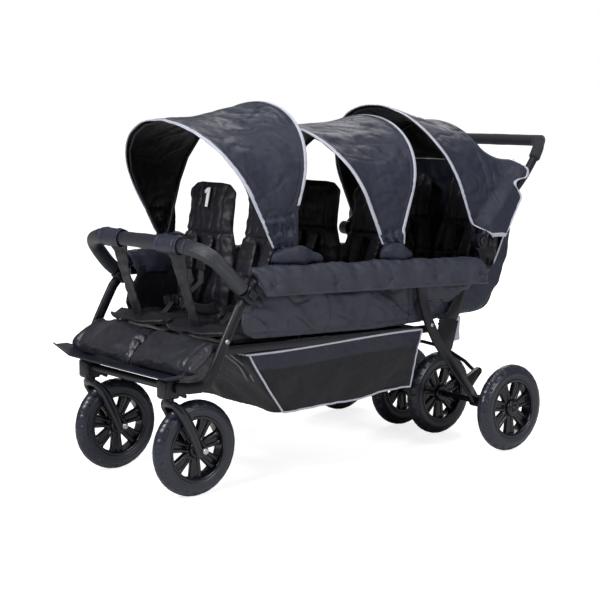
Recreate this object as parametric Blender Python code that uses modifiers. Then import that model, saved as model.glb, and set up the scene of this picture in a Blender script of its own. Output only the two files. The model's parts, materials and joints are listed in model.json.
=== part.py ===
"""Six-seat stroller with three folding canopies, built as separate named pieces.

Metres, +Z up. The front casters are toward -Y and +X is the stroller's left side.
The origin is on the ground, under the middle of the stroller's overall box.
"""
import math

import bpy
import bmesh
from mathutils import Matrix, Vector

# Driving dimensions: wheels and axles
GAP = 0.0003                 # clearance between two pieces that seat on each other
WHEEL_RADIUS = 0.1325
TYRE_WIDTH = 0.045
RIM_RADIUS = 0.0875
RIM_WIDTH = 0.043
HUB_RADIUS = 0.026
HUB_LENGTH = 0.046
SPOKE_PAIRS = 7
WHEEL_FACETS = 20
SPINDLE_RADIUS = 0.006
SPINDLE_CLEARANCE = 0.0006
WHEELBASE = 1.036
REAR_AXLE_Y = 0.460
REAR_OUTER_X = 0.385
REAR_INNER_X = 0.084
AXLE_TUBE_RADIUS = 0.010
CASTER_X = 0.195
CASTER_TRAIL = 0.082

# Driving dimensions: front end
HOUSING_SIZE = (0.046, 0.050, 0.054)
KINGPIN_RADIUS = 0.008
FORK_HALF_WIDTH = 0.0365
FORK_TUBE_RADIUS = 0.0100
FORK_CROWN_RISE = WHEEL_RADIUS + 0.0005      # crown's axis above the front wheel's axis
HOUSING_TOP_Z = WHEEL_RADIUS + FORK_CROWN_RISE + 0.0665
CROSSBAR_Z = HOUSING_TOP_Z - 0.022
CROSSBAR_RADIUS = 0.011
FOOTPLATE_HALF_WIDTH = 0.324
FOOTPLATE_BEHIND_PINS = 0.060
FOOTPLATE_AHEAD_OF_PINS = 0.046
FOOTPLATE_TIP_RISE = 0.024
FOOTPLATE_THICKNESS = 0.004
LEVER_LENGTH = 0.026
LEVER_ROOT_RADIUS = 0.0075

# Driving dimensions: side frames
RAIL_X = 0.300
RAIL_RADIUS = 0.013
RAIL_FRONT = (-0.470, 0.5865)
RAIL_REAR = (0.456, 0.551)
LOWER_RAIL_X = 0.279
LOWER_RAIL_HEIGHT = 0.024
LOWER_RAIL_THICKNESS = 0.014
LOWER_RAIL_FRONT = (-0.566, 0.4035)
LOWER_RAIL_REAR = (0.214, 0.3865)
CROSS_TUBE_RADIUS = 0.010
CROSS_TUBE_YS = (-0.485, -0.085, 0.160)
LEG_WIDTH = 0.034
LEG_THICKNESS = 0.018
FRONT_LEG_X = 0.306
CLAMP_CENTRE = (0.306, -0.478, 0.548)
CLAMP_HALF = (0.017, 0.020, 0.020)
CLAMP_TILT = math.radians(-42.0)
BUTTON_TRAVEL = 0.003

# Driving dimensions: rear legs and fold lock
REAR_LEG_PIVOT = (0.152, 0.530)
REAR_LEG_X = 0.308
REAR_BOSS_END_X = 0.2952
PIVOT_PIN_RADIUS = 0.004
BRACE_PIVOT = (0.352, 0.512)
BRACE_X = 0.289
BRACE_THICKNESS = 0.005
GUSSET_X = 0.295
GUSSET_THICKNESS = 0.005
LOCK_PIN = (0.256, 0.4075)
LOCK_PIN_RADIUS = 0.005
BRAKE_PIVOT = (0.452, WHEEL_RADIUS + 0.0955)
BRAKE_ARCH = 2 * WHEEL_RADIUS + 0.025 - BRAKE_PIVOT[1]      # rise of the bar over the inner wheels
BRAKE_TUBE_RADIUS = 0.006
BRAKE_BRACKET_X = REAR_LEG_X - 0.046
BRAKE_BRACKET_THICKNESS = 0.012

# Driving dimensions: handles
KNUCKLE_CENTRE = (0.407, 0.637)
KNUCKLE_RADIUS = 0.022
KNUCKLE_BUTTON_RADIUS = 0.012
KNUCKLE_BUTTON_TRAVEL = 0.004
HANDLE_X = 0.3025
HANDLE_RADIUS = 0.0125
KNUCKLE_OUTER_X = HANDLE_X + HANDLE_RADIUS + 0.0008
GRIP_RADIUS = 0.0175
GRIP_START = (0.647, 0.8785)
BUMPER_RADIUS = 0.0100
SLEEVE_RADIUS = 0.0205
BUMPER_TOP_Z = 0.678
BUMPER_FRONT_Y = -0.606
BAR_INSERT = -0.0095

# Driving dimensions: seats and soft parts
SEAT_X = 0.141
SEAT_HALF_WIDTH = 0.130
HEADREST_HALF_WIDTH = 0.120
SEAT_PITCH = 0.400
FIRST_SEAT_Y = -0.310
SEAT_THICKNESS = 0.042
SEAT_SETTLE = (0.0230, 0.0230, 0.0276)
LEG_REST_SETTLE = -0.0002
CLOTH = 0.003
TUB_FLOOR_Z = 0.4125
BASKET_FLOOR_Z = 0.200
COVER_INNER = 0.0260         # rail cover's inner face, inwards of the rail's axis
COVER_TOP = 0.0360           # rail cover's flat top, above the rail's axis
COVER_FLAT = 0.0100          # half width of that flat top
TUB_HALF_WIDTH = RAIL_X - COVER_INNER - 0.002
CANOPY_STEP_IN = 0.0115      # front hoop, inwards of the rear hoop
CLIP_THICKNESS = 0.011
CLIP_HEIGHT = 0.034
CLIP_END = 0.012             # clip block beyond the two hoops' feet
BOW_RADIUS = 0.0045
BOW_PIN_RADIUS = 0.003
CLOTH_FOOT = 0.045           # lowest edge of the canopy cloth, above the hoops' feet

PI = math.pi


def clear_scene():
    for obj in list(bpy.data.objects):
        bpy.data.objects.remove(obj, do_unlink=True)


clear_scene()

PARTS = bpy.data.collections.new("six_seat_stroller")
CUTTERS = bpy.data.collections.new("cutters")
for group in (PARTS, CUTTERS):
    bpy.context.scene.collection.children.link(group)


# Materials

def material(name, colour, roughness, metallic=0.0):
    """A Principled material with one plain colour."""
    mat = bpy.data.materials.new(name)
    mat.use_nodes = True
    shader = mat.node_tree.nodes["Principled BSDF"]
    shader.inputs["Base Color"].default_value = (*colour, 1.0)
    shader.inputs["Roughness"].default_value = roughness
    shader.inputs["Metallic"].default_value = metallic
    return mat


FRAME_BLACK = (0.016, 0.016, 0.018)
CLOTH_BLUE_GREY = (0.036, 0.040, 0.056)
SEAT_BLACK = (0.012, 0.012, 0.014)
RUBBER_GREY = (0.030, 0.032, 0.040)


# Small modelling tools

def mesh_object(name, bm):
    """A new object from a bmesh, which is freed."""
    bmesh.ops.recalc_face_normals(bm, faces=bm.faces)
    mesh = bpy.data.meshes.new(name)
    bm.to_mesh(mesh)
    bm.free()
    return bpy.data.objects.new(name, mesh)


def evaluated_mesh(obj):
    """The object's mesh with its modifiers, in its own space."""
    graph = bpy.context.evaluated_depsgraph_get()
    return bpy.data.meshes.new_from_object(obj.evaluated_get(graph))


def as_mesh(obj, collection=PARTS):
    """Turn a linked curve object into a welded mesh object of the same name."""
    bpy.context.view_layer.update()
    name = obj.name
    world = obj.matrix_world.copy()
    mesh = evaluated_mesh(obj)
    bm = bmesh.new()
    bm.from_mesh(mesh)
    bmesh.ops.remove_doubles(bm, verts=bm.verts, dist=0.00002)
    bmesh.ops.recalc_face_normals(bm, faces=bm.faces)
    bm.to_mesh(mesh)
    bm.free()
    bpy.data.objects.remove(obj, do_unlink=True)
    solid = bpy.data.objects.new(name, mesh)
    solid.matrix_world = world
    collection.objects.link(solid)
    mesh.name = name
    return solid


def bore_radius(shaft, sides):
    """Radius of a many-sided bore whose flats clear a shaft by the gap."""
    return (shaft + GAP) / math.cos(PI / sides)


def hide_tool(obj):
    """Mark an object as a cutter or guide, which the build leaves out."""
    obj.hide_render = True
    obj.display_type = "WIRE"
    return obj


def combine(target, tool, operation):
    """Join a tool to a target, or cut it away, with an exact Boolean."""
    hide_tool(tool)
    step = target.modifiers.new(tool.name, "BOOLEAN")
    step.operation = operation
    step.solver = "EXACT"
    step.object = tool
    return target


def box_tool(name, centre, size, tilt=0.0, collection=CUTTERS):
    """A box turned by tilt about X."""
    bm = bmesh.new()
    bmesh.ops.create_cube(bm, size=1.0)
    bmesh.ops.scale(bm, vec=size, verts=bm.verts)
    obj = mesh_object(name, bm)
    obj.location = centre
    obj.rotation_euler = (tilt, 0.0, 0.0)
    collection.objects.link(obj)
    return obj


def rod(name, start, end, radius, sides=12, collection=CUTTERS):
    """A closed cylinder from start to end."""
    start = Vector(start)
    end = Vector(end)
    bm = bmesh.new()
    bmesh.ops.create_cone(bm, cap_ends=True, segments=sides, radius1=radius,
                          radius2=radius, depth=(end - start).length)
    obj = mesh_object(name, bm)
    obj.location = (start + end) / 2
    obj.rotation_mode = "QUATERNION"
    obj.rotation_quaternion = (end - start).to_track_quat("Z", "Y")
    collection.objects.link(obj)
    return obj


def path_curve(name, points, twist):
    """A 3D poly curve through the given points."""
    curve = bpy.data.curves.new(name, "CURVE")
    curve.dimensions = "3D"
    curve.twist_mode = twist
    spline = curve.splines.new("POLY")
    spline.points.add(len(points) - 1)
    for point, target in zip(spline.points, points):
        point.co = (*target, 1.0)
    spline.use_smooth = True
    return bpy.data.objects.new(name, curve)


def tube(name, points, radius, resolution=1, radii=None, collection=PARTS):
    """A round tube along the points, as one closed mesh."""
    obj = path_curve(name, points, "MINIMUM")
    obj.data.bevel_depth = radius
    obj.data.bevel_resolution = resolution
    obj.data.use_fill_caps = True
    if radii:
        for point, scale in zip(obj.data.splines[0].points, radii):
            point.radius = scale
    collection.objects.link(obj)
    return as_mesh(obj, collection)


def flat_tube(name, points, width, thickness, collection=PARTS):
    """A flat-oval tube along the points: width in the path's plane, thickness across it."""
    profile = bpy.data.curves.new(name + "_profile", "CURVE")
    profile.dimensions = "2D"
    ring = profile.splines.new("POLY")
    steps = 10
    ring.points.add(steps - 1)
    for index, point in enumerate(ring.points):
        angle = 2 * PI * (index + 0.5) / steps
        across = math.copysign(abs(math.cos(angle)) ** 0.7, math.cos(angle)) * thickness / 2
        along = math.copysign(abs(math.sin(angle)) ** 0.7, math.sin(angle)) * width / 2
        point.co = (across, along, 0.0, 1.0)
    ring.use_cyclic_u = True
    guide = hide_tool(bpy.data.objects.new(name + "_profile", profile))
    CUTTERS.objects.link(guide)
    obj = path_curve(name, points, "Z_UP")
    obj.data.bevel_mode = "OBJECT"
    obj.data.bevel_object = guide
    obj.data.use_fill_caps = True
    collection.objects.link(obj)
    return as_mesh(obj, collection)


def side_plate(name, outlines, x_centre, thickness, collection=PARTS):
    """A flat plate whose outline is given in (y, z) and that stands across X."""
    curve = bpy.data.curves.new(name, "CURVE")
    curve.dimensions = "2D"
    curve.fill_mode = "BOTH"
    curve.extrude = thickness / 2
    for outline in outlines:
        spline = curve.splines.new("POLY")
        spline.points.add(len(outline) - 1)
        for point, (y, z) in zip(spline.points, outline):
            point.co = (y, z, 0.0, 1.0)
        spline.use_cyclic_u = True
    obj = bpy.data.objects.new(name, curve)
    obj.matrix_world = Matrix(((0, 0, 1, x_centre), (1, 0, 0, 0), (0, 1, 0, 0), (0, 0, 0, 1)))
    collection.objects.link(obj)
    return as_mesh(obj, collection)


def turned(name, profile, steps, closed, collection=PARTS):
    """A profile of (radius, height) turned about the object's own Z axis."""
    bm = bmesh.new()
    verts = [bm.verts.new((radius, 0.0, height)) for radius, height in profile]
    for first, second in zip(verts, verts[1:]):
        bm.edges.new((first, second))
    if closed:
        bm.edges.new((verts[-1], verts[0]))
    mesh = bpy.data.meshes.new(name)
    bm.to_mesh(mesh)
    bm.free()
    obj = bpy.data.objects.new(name, mesh)
    screw = obj.modifiers.new("turn", "SCREW")
    screw.axis = "Z"
    screw.steps = steps
    screw.render_steps = steps
    screw.use_merge_vertices = True
    screw.merge_threshold = 0.00001
    screw.use_smooth_shade = True
    collection.objects.link(obj)
    return obj


def loft(name, rings, closed_path=False, collection=PARTS):
    """A closed skin through equal rings of points, with flat ends."""
    bm = bmesh.new()
    rows = [[bm.verts.new(point) for point in ring] for ring in rings]
    pairs = list(zip(rows, rows[1:]))
    if closed_path:
        pairs.append((rows[-1], rows[0]))
    for lower, upper in pairs:
        count = len(lower)
        for index in range(count):
            following = (index + 1) % count
            bm.faces.new((lower[index], lower[following], upper[following], upper[index]))
    if not closed_path:
        bm.faces.new(rows[0])
        bm.faces.new(rows[-1])
    obj = mesh_object(name, bm)
    collection.objects.link(obj)
    return obj


def sheet(name, rows, thickness, collection=PARTS):
    """A cloth sheet through a grid of points, thickened to one closed body."""
    bm = bmesh.new()
    grid = [[bm.verts.new(point) for point in row] for row in rows]
    for lower, upper in zip(grid, grid[1:]):
        for index in range(len(lower) - 1):
            bm.faces.new((lower[index], lower[index + 1], upper[index + 1], upper[index]))
    obj = mesh_object(name, bm)
    solid = obj.modifiers.new("cloth", "SOLIDIFY")
    solid.thickness = thickness
    solid.offset = 0.0
    solid.use_even_offset = True
    collection.objects.link(obj)
    return obj


def finish(obj, colour, roughness, metallic=0.0, smooth=True):
    """Give a linked object its material and shading."""
    mesh = obj.data
    mesh.materials.clear()
    mesh.materials.append(material(obj.name, colour, roughness, metallic))
    if smooth and mesh.polygons:
        mesh.shade_smooth()
        mesh.set_sharp_from_angle(angle=math.radians(40))
    return obj


def pivot(name, location):
    """An empty on a joint's axis."""
    empty = bpy.data.objects.new(name, None)
    empty.location = location
    empty.empty_display_size = 0.03
    PARTS.objects.link(empty)
    return empty


def hang(obj, empty):
    """Parent a piece to its joint's empty without moving it."""
    obj.parent = empty
    obj.matrix_parent_inverse = Matrix.Translation(-empty.location)
    return obj


def lerp(low, high, share):
    return low + (high - low) * share


def rail_z(y):
    """Height of the upper rail's axis at a place along Y."""
    share = (y - RAIL_FRONT[0]) / (RAIL_REAR[0] - RAIL_FRONT[0])
    return lerp(RAIL_FRONT[1], RAIL_REAR[1], share)


def lower_rail_z(y):
    """Height of the lower rail's axis at a place along Y."""
    share = (y - LOWER_RAIL_FRONT[0]) / (LOWER_RAIL_REAR[0] - LOWER_RAIL_FRONT[0])
    return lerp(LOWER_RAIL_FRONT[1], LOWER_RAIL_REAR[1], share)


def disc(centre, radius, start_deg, end_deg, steps):
    """Points on an arc in (y, z)."""
    points = []
    for index in range(steps + 1):
        angle = math.radians(lerp(start_deg, end_deg, index / steps))
        points.append((centre[0] + radius * math.cos(angle), centre[1] + radius * math.sin(angle)))
    return points


def mirror(side):
    """Which way X runs on a side of the stroller."""
    return 1 if side == "left" else -1


SIDES = tuple((side, mirror(side)) for side in ("left", "right"))


# Wheels

def tyre(name, centre):
    """A fat tyre with rounded shoulders, seated on the rim's barrel."""
    half = TYRE_WIDTH / 2
    bore = RIM_RADIUS + GAP
    bead = half - 0.0042
    profile = [(bore, bead), (bore + 0.016, half), (WHEEL_RADIUS - 0.008, half * 0.82),
               (WHEEL_RADIUS, half * 0.34), (WHEEL_RADIUS, -half * 0.34),
               (WHEEL_RADIUS - 0.008, -half * 0.82), (bore + 0.016, -half), (bore, -bead)]
    obj = turned(name, profile, WHEEL_FACETS, True)
    obj.location = centre
    obj.rotation_euler = (0.0, PI / 2, 0.0)
    return finish(obj, RUBBER_GREY, 0.75, smooth=False)


def spoke_star(inner, outer, half_root, half_tip, slot_inner, slot_half):
    """Outline of the hub's web with pairs of spokes that run out into the barrel."""
    points = []
    for pair in range(SPOKE_PAIRS):
        middle = 2 * PI * pair / SPOKE_PAIRS
        root = math.asin(half_root / inner)
        tip = math.asin(half_tip / outer)
        slot_tip = math.asin((slot_half + 0.001) / outer)
        slot_root = math.asin(slot_half / slot_inner)
        for radius, angle in ((inner, -root), (outer, -tip), (outer, -slot_tip), (slot_inner, -slot_root),
                              (slot_inner, slot_root), (outer, slot_tip), (outer, tip), (inner, root)):
            points.append((radius * math.cos(middle + angle), radius * math.sin(middle + angle)))
    return points


def rim(name, centre):
    """A barrel with bead flanges, paired spokes and a hub with a through bore."""
    barrel_inner = RIM_RADIUS - 0.007
    half = RIM_WIDTH / 2
    seat = TYRE_WIDTH / 2 - 0.0036
    flange = RIM_RADIUS + 0.0035
    barrel = [(barrel_inner, half), (flange, half), (RIM_RADIUS, seat), (RIM_RADIUS, -seat),
              (flange, -half), (barrel_inner, -half)]
    obj = turned(name, barrel, WHEEL_FACETS, True)
    bore = SPINDLE_RADIUS + SPINDLE_CLEARANCE
    inner = HUB_RADIUS + 0.004
    ring = spoke_star(inner, barrel_inner + 0.0035, 0.0115, 0.0140, inner + 0.010, 0.0028)
    curve = bpy.data.curves.new(name + "_disc", "CURVE")
    curve.dimensions = "2D"
    curve.fill_mode = "BOTH"
    curve.extrude = 0.0075
    spline = curve.splines.new("POLY")
    spline.points.add(len(ring) - 1)
    for point, (x, y) in zip(spline.points, ring):
        point.co = (x, y, 0.0, 1.0)
    spline.use_cyclic_u = True
    disc_object = bpy.data.objects.new(name + "_disc", curve)
    CUTTERS.objects.link(disc_object)
    disc_object = as_mesh(disc_object, CUTTERS)
    hub = turned(name + "_hub", [(0.0, HUB_LENGTH / 2), (HUB_RADIUS * 0.7, HUB_LENGTH / 2),
                                 (HUB_RADIUS, HUB_LENGTH / 2 - 0.006), (HUB_RADIUS, -HUB_LENGTH / 2 + 0.006),
                                 (HUB_RADIUS * 0.7, -HUB_LENGTH / 2), (0.0, -HUB_LENGTH / 2)],
                 10, False, CUTTERS)
    hole = rod(name + "_bore", (0, 0, -HUB_LENGTH), (0, 0, HUB_LENGTH), bore, 8)
    for tool in (disc_object, hub, hole):
        tool.parent = obj
    combine(obj, disc_object, "UNION")
    combine(obj, hub, "UNION")
    combine(obj, hole, "DIFFERENCE")
    obj.location = centre
    obj.rotation_euler = (0.0, PI / 2, 0.0)
    return finish(obj, FRAME_BLACK, 0.22, smooth=False)


def wheel(name, centre, carrier):
    """A tyre and rim on their own spin axis."""
    spin = pivot(name + "_spin", centre)
    if carrier:
        hang(spin, carrier)
    for piece in (tyre("tyre_" + name, centre), rim("rim_" + name, centre)):
        hang(piece, spin)


# Front end

CASTER_Y = REAR_AXLE_Y - WHEELBASE - CASTER_TRAIL
HOUSING_BOTTOM_Z = HOUSING_TOP_Z - HOUSING_SIZE[2]


def front_axle_beam():
    """The oval cross tube with a moulded caster housing at each end."""
    beam = tube("front_axle_beam", [(-CASTER_X, CASTER_Y, CROSSBAR_Z), (CASTER_X, CASTER_Y, CROSSBAR_Z)],
                CROSSBAR_RADIUS, 3)
    middle_z = (HOUSING_TOP_Z + HOUSING_BOTTOM_Z) / 2
    for side, sign in SIDES:
        block = box_tool("housing_block_" + side, (sign * CASTER_X, CASTER_Y, middle_z), HOUSING_SIZE)
        soften = block.modifiers.new("edges", "BEVEL")
        soften.width = 0.006
        soften.segments = 1
        combine(beam, block, "UNION")
        bore_top = HOUSING_TOP_Z - 0.012
        bore = rod("kingpin_bore_" + side, (sign * CASTER_X, CASTER_Y, HOUSING_BOTTOM_Z - 0.01),
                   (sign * CASTER_X, CASTER_Y, bore_top), KINGPIN_RADIUS + 2 * GAP, 12)
        combine(beam, bore, "DIFFERENCE")
    return finish(beam, FRAME_BLACK, 0.4)


def front_fork(side, sign):
    """One tube bent over the wheel, with its kingpin and its axle bolt."""
    crown_z = WHEEL_RADIUS + FORK_CROWN_RISE
    x = sign * CASTER_X
    y = CASTER_Y
    wheel_y = CASTER_Y + CASTER_TRAIL
    near = [(FORK_HALF_WIDTH, wheel_y - 0.004, WHEEL_RADIUS - 0.010),
            (FORK_HALF_WIDTH, wheel_y - 0.030, WHEEL_RADIUS + 0.050),
            (FORK_HALF_WIDTH, wheel_y - 0.052, WHEEL_RADIUS + 0.095),
            (FORK_HALF_WIDTH * 0.93, wheel_y - 0.068, crown_z - 0.013),
            (FORK_HALF_WIDTH * 0.62, wheel_y - 0.079, crown_z - 0.002)]
    path = [(x + dx, py, pz) for dx, py, pz in near]
    path.append((x, y, crown_z))
    path += [(x - dx, py, pz) for dx, py, pz in reversed(near)]
    radii = [1.05, 0.95, 1.0, 1.0, 1.0, 1.0, 1.0, 1.0, 1.0, 0.95, 1.05]
    fork = tube("front_fork_" + side, path, FORK_TUBE_RADIUS, 2, radii)
    kingpin_top = HOUSING_TOP_Z - 0.014
    kingpin = rod("kingpin_" + side, (x, y, crown_z), (x, y, kingpin_top), KINGPIN_RADIUS, 12)
    collar = rod("kingpin_collar_" + side, (x, y, crown_z), (x, y, HOUSING_BOTTOM_Z - GAP), 0.015, 12)
    reach = FORK_HALF_WIDTH + FORK_TUBE_RADIUS + 0.004
    bolt = rod("axle_bolt_" + side, (x - reach, wheel_y, WHEEL_RADIUS), (x + reach, wheel_y, WHEEL_RADIUS),
               SPINDLE_RADIUS, 10)
    for tool in (collar, kingpin, bolt):
        combine(fork, tool, "UNION")
    return finish(fork, FRAME_BLACK, 0.25)


LEVER_PIVOT = (CASTER_Y + HOUSING_SIZE[1] / 2 + GAP + LEVER_ROOT_RADIUS, HOUSING_BOTTOM_Z + 0.010)


def swivel_lock(side, sign):
    """The small lever at the housing's rear that pins the caster straight."""
    x = sign * CASTER_X
    y, z = LEVER_PIVOT
    tip = y - LEVER_ROOT_RADIUS + LEVER_LENGTH
    outline = disc((y, z), LEVER_ROOT_RADIUS, 60, 300, 8) + [(tip, z - 0.016), (tip + 0.003, z - 0.008),
                                                            (y + 0.009, z + 0.0055)]
    lever = side_plate("swivel_lock_" + side, [outline], x, 0.018)
    return finish(lever, FRAME_BLACK, 0.4)


def footplate():
    """A curved plate that rests on the caster housings, with turned-up ends and a front lip."""
    columns = 12
    rows = []
    for row in range(5):
        depth = row / 4
        line = []
        for column in range(columns + 1):
            across = -1.0 + 2.0 * column / columns
            rear = CASTER_Y + FOOTPLATE_BEHIND_PINS - 0.057 * across ** 4
            front = CASTER_Y - FOOTPLATE_AHEAD_OF_PINS + 0.004 * across ** 2
            y = lerp(rear, front, depth)
            rise = FOOTPLATE_TIP_RISE * max(0.0, abs(across) - 0.72) / 0.28
            lip = 0.006 if row == 4 else 0.0
            line.append((across * FOOTPLATE_HALF_WIDTH, y,
                         HOUSING_TOP_Z + GAP + FOOTPLATE_THICKNESS / 2 + rise + lip))
        rows.append(line)
    plate = sheet("footplate", rows, FOOTPLATE_THICKNESS)
    return finish(plate, FRAME_BLACK, 0.35)


# Side frames

def arm_direction():
    """Unit vector along the bumper bar's arm, out of the clamp block."""
    return Vector((0.0, -math.cos(CLAMP_TILT), -math.sin(CLAMP_TILT)))


def leg_direction():
    """Unit vector along the front leg's top, out of the clamp block."""
    return Vector((0.0, math.sin(CLAMP_TILT), -math.cos(CLAMP_TILT)))


def side_rail(side, sign):
    """The upper rail with its front clamp block, pivot ears and handle bracket."""
    x = sign * RAIL_X
    start = (x, RAIL_FRONT[0] + 0.006, rail_z(RAIL_FRONT[0] + 0.006) - 0.004)
    rail = tube("side_rail_" + side, [start, (x, RAIL_FRONT[0] + 0.05, rail_z(RAIL_FRONT[0] + 0.05)),
                                      (x, RAIL_REAR[0] - 0.012, rail_z(RAIL_REAR[0] - 0.012))],
                RAIL_RADIUS, 2)
    centre = Vector((sign * CLAMP_CENTRE[0], CLAMP_CENTRE[1], CLAMP_CENTRE[2]))
    block = box_tool("clamp_block_" + side, centre, [2 * half for half in CLAMP_HALF], CLAMP_TILT)
    soften = block.modifiers.new("edges", "BEVEL")
    soften.width = 0.004
    soften.segments = 1
    combine(rail, block, "UNION")
    neck_top = (x, CLAMP_CENTRE[1] + 0.022, rail_z(CLAMP_CENTRE[1] + 0.022) - 0.008)
    neck = rod("clamp_neck_" + side, centre, neck_top, 0.0125, 10)
    combine(rail, neck, "UNION")
    socket_mouth = centre + arm_direction() * (CLAMP_HALF[1] + 0.01)
    socket = rod("bar_socket_" + side, centre + arm_direction() * (BAR_INSERT - GAP), socket_mouth,
                 bore_radius(BUMPER_RADIUS, 12), 12)
    combine(rail, socket, "DIFFERENCE")
    pocket = box_tool("button_pocket_" + side,
                      (sign * (CLAMP_CENTRE[0] + CLAMP_HALF[0]), centre.y, centre.z),
                      (0.014, 0.022 + 2 * GAP, 0.016 + 2 * GAP), CLAMP_TILT)
    combine(rail, pocket, "DIFFERENCE")
    for label, place_yz, pin_from, pin_to in (
            ("leg", REAR_LEG_PIVOT, GUSSET_X, REAR_LEG_X + LEG_THICKNESS / 2 + 0.002),
            ("brace", BRACE_PIVOT, GUSSET_X, BRACE_X - BRACE_THICKNESS / 2 - 0.001)):
        y, z = place_yz
        top = rail_z(y)
        ear = side_plate("ear_" + label + "_" + side,
                         [[(y - 0.016, top), (y - 0.010, z - 0.006), (y, z - 0.010),
                           (y + 0.010, z - 0.006), (y + 0.016, top)]],
                         sign * (GUSSET_X + 0.001), 0.005, CUTTERS)
        combine(rail, ear, "UNION")
        pin = rod("ear_pin_" + label + "_" + side, (sign * pin_from, y, z), (sign * pin_to, y, z),
                  PIVOT_PIN_RADIUS, 10)
        combine(rail, pin, "UNION")
    ky, kz = KNUCKLE_CENTRE
    bracket = side_plate("handle_bracket_" + side,
                         [[(RAIL_REAR[0] - 0.042, 0.603), (RAIL_REAR[0] - 0.031, rail_z(RAIL_REAR[0])),
                           (RAIL_REAR[0] - 0.013, rail_z(RAIL_REAR[0])), (RAIL_REAR[0] - 0.010, 0.590)]
                          + disc((ky, kz), KNUCKLE_RADIUS, -20, 240, 9)],
                         sign * 0.2890, 0.010, CUTTERS)
    combine(rail, bracket, "UNION")
    hinge_pin = rod("handle_pin_" + side, (sign * 0.2900, ky, kz), (sign * 0.3000, ky, kz),
                    PIVOT_PIN_RADIUS + 0.002, 12)
    combine(rail, hinge_pin, "UNION")
    return finish(rail, FRAME_BLACK, 0.35)


def bar_button(side, sign):
    """The ribbed release button in the clamp block's outer face."""
    face = CLAMP_CENTRE[0] + CLAMP_HALF[0]
    depth = 0.0095
    centre_x = face - 0.007 + GAP + BUTTON_TRAVEL + depth / 2
    button = box_tool("bar_button_" + side, (sign * centre_x, CLAMP_CENTRE[1], CLAMP_CENTRE[2]),
                      (depth, 0.022, 0.016), CLAMP_TILT, PARTS)
    for index in range(3):
        offset = leg_direction() * (index - 1) * 0.0055
        groove = box_tool("button_groove_%s_%d" % (side, index),
                          (sign * (centre_x + depth / 2), CLAMP_CENTRE[1] + offset.y,
                           CLAMP_CENTRE[2] + offset.z),
                          (0.0024, 0.030, 0.0018), CLAMP_TILT)
        combine(button, groove, "DIFFERENCE")
    return finish(button, FRAME_BLACK, 0.5, smooth=False)


def front_leg(side, sign):
    """A flat-oval tube from the clamp block, bending in to the caster housing."""
    start = Vector(CLAMP_CENTRE) + leg_direction() * (CLAMP_HALF[2] + GAP)
    neck = start + leg_direction() * 0.022
    end_x = CASTER_X + HOUSING_SIZE[0] / 2 + GAP
    points = [(FRONT_LEG_X, start.y, start.z), (FRONT_LEG_X, neck.y, neck.z)]
    for inward, y, share in ((0.0, -0.533, 0.672), (0.0, -0.556, 0.496), (0.0, -0.580, 0.294),
                             (0.001, -0.596, 0.160), (0.008, -0.607, 0.071), (0.024, -0.619, 0.025),
                             (0.050, -0.636, 0.004)):
        points.append((FRONT_LEG_X - inward, y, lerp(CROSSBAR_Z, CLAMP_CENTRE[2], share)))
    points += [(end_x + 0.012, CASTER_Y + 0.008, CROSSBAR_Z), (end_x, CASTER_Y + 0.008, CROSSBAR_Z)]
    leg = flat_tube("front_leg_" + side, [(sign * x, y, z) for x, y, z in points], LEG_WIDTH * 0.9,
                    LEG_THICKNESS * 0.85)
    y, z = -0.5525, 0.4335
    rivet = rod("front_rivet_" + side, (sign * (FRONT_LEG_X + 0.004), y, z),
                (sign * (FRONT_LEG_X + LEG_THICKNESS / 2 + 0.002), y, z), 0.0045, 10)
    combine(leg, rivet, "UNION")
    return finish(leg, FRAME_BLACK, 0.3)


def lower_frame():
    """Two lower rails welded to the cross tubes that carry the seats and the basket."""
    frame = None
    leg_inner = FRONT_LEG_X - LEG_THICKNESS * 0.85 / 2
    for side, sign in SIDES:
        rail = flat_tube("lower_frame" if frame is None else "lower_rail_" + side,
                         [(sign * LOWER_RAIL_X, *LOWER_RAIL_FRONT), (sign * LOWER_RAIL_X, *LOWER_RAIL_REAR)],
                         LOWER_RAIL_HEIGHT, LOWER_RAIL_THICKNESS, PARTS if frame is None else CUTTERS)
        if frame is None:
            frame = rail
        else:
            combine(frame, rail, "UNION")
        boss_y = LOWER_RAIL_FRONT[0] + 0.003
        boss_z = LOWER_RAIL_FRONT[1] + 0.002
        front_boss = rod("lower_front_boss_" + side, (sign * LOWER_RAIL_X, boss_y, boss_z),
                         (sign * (leg_inner - GAP), boss_y, boss_z), 0.008, 10)
        combine(frame, front_boss, "UNION")
        boss_y = LOWER_RAIL_REAR[0] - 0.014
        boss_z = LOWER_RAIL_REAR[1] + 0.0055
        rear_boss = rod("lower_rear_boss_" + side, (sign * LOWER_RAIL_X, boss_y, boss_z),
                        (sign * REAR_BOSS_END_X, boss_y, boss_z), 0.006, 10)
        combine(frame, rear_boss, "UNION")
    for index, y in enumerate(CROSS_TUBE_YS):
        z = lower_rail_z(y)
        cross = rod("cross_tube_%d" % (index + 1), (-LOWER_RAIL_X, y, z), (LOWER_RAIL_X, y, z),
                    CROSS_TUBE_RADIUS, 10)
        combine(frame, cross, "UNION")
    return finish(frame, FRAME_BLACK, 0.4)


# Rear undercarriage and fold lock

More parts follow.
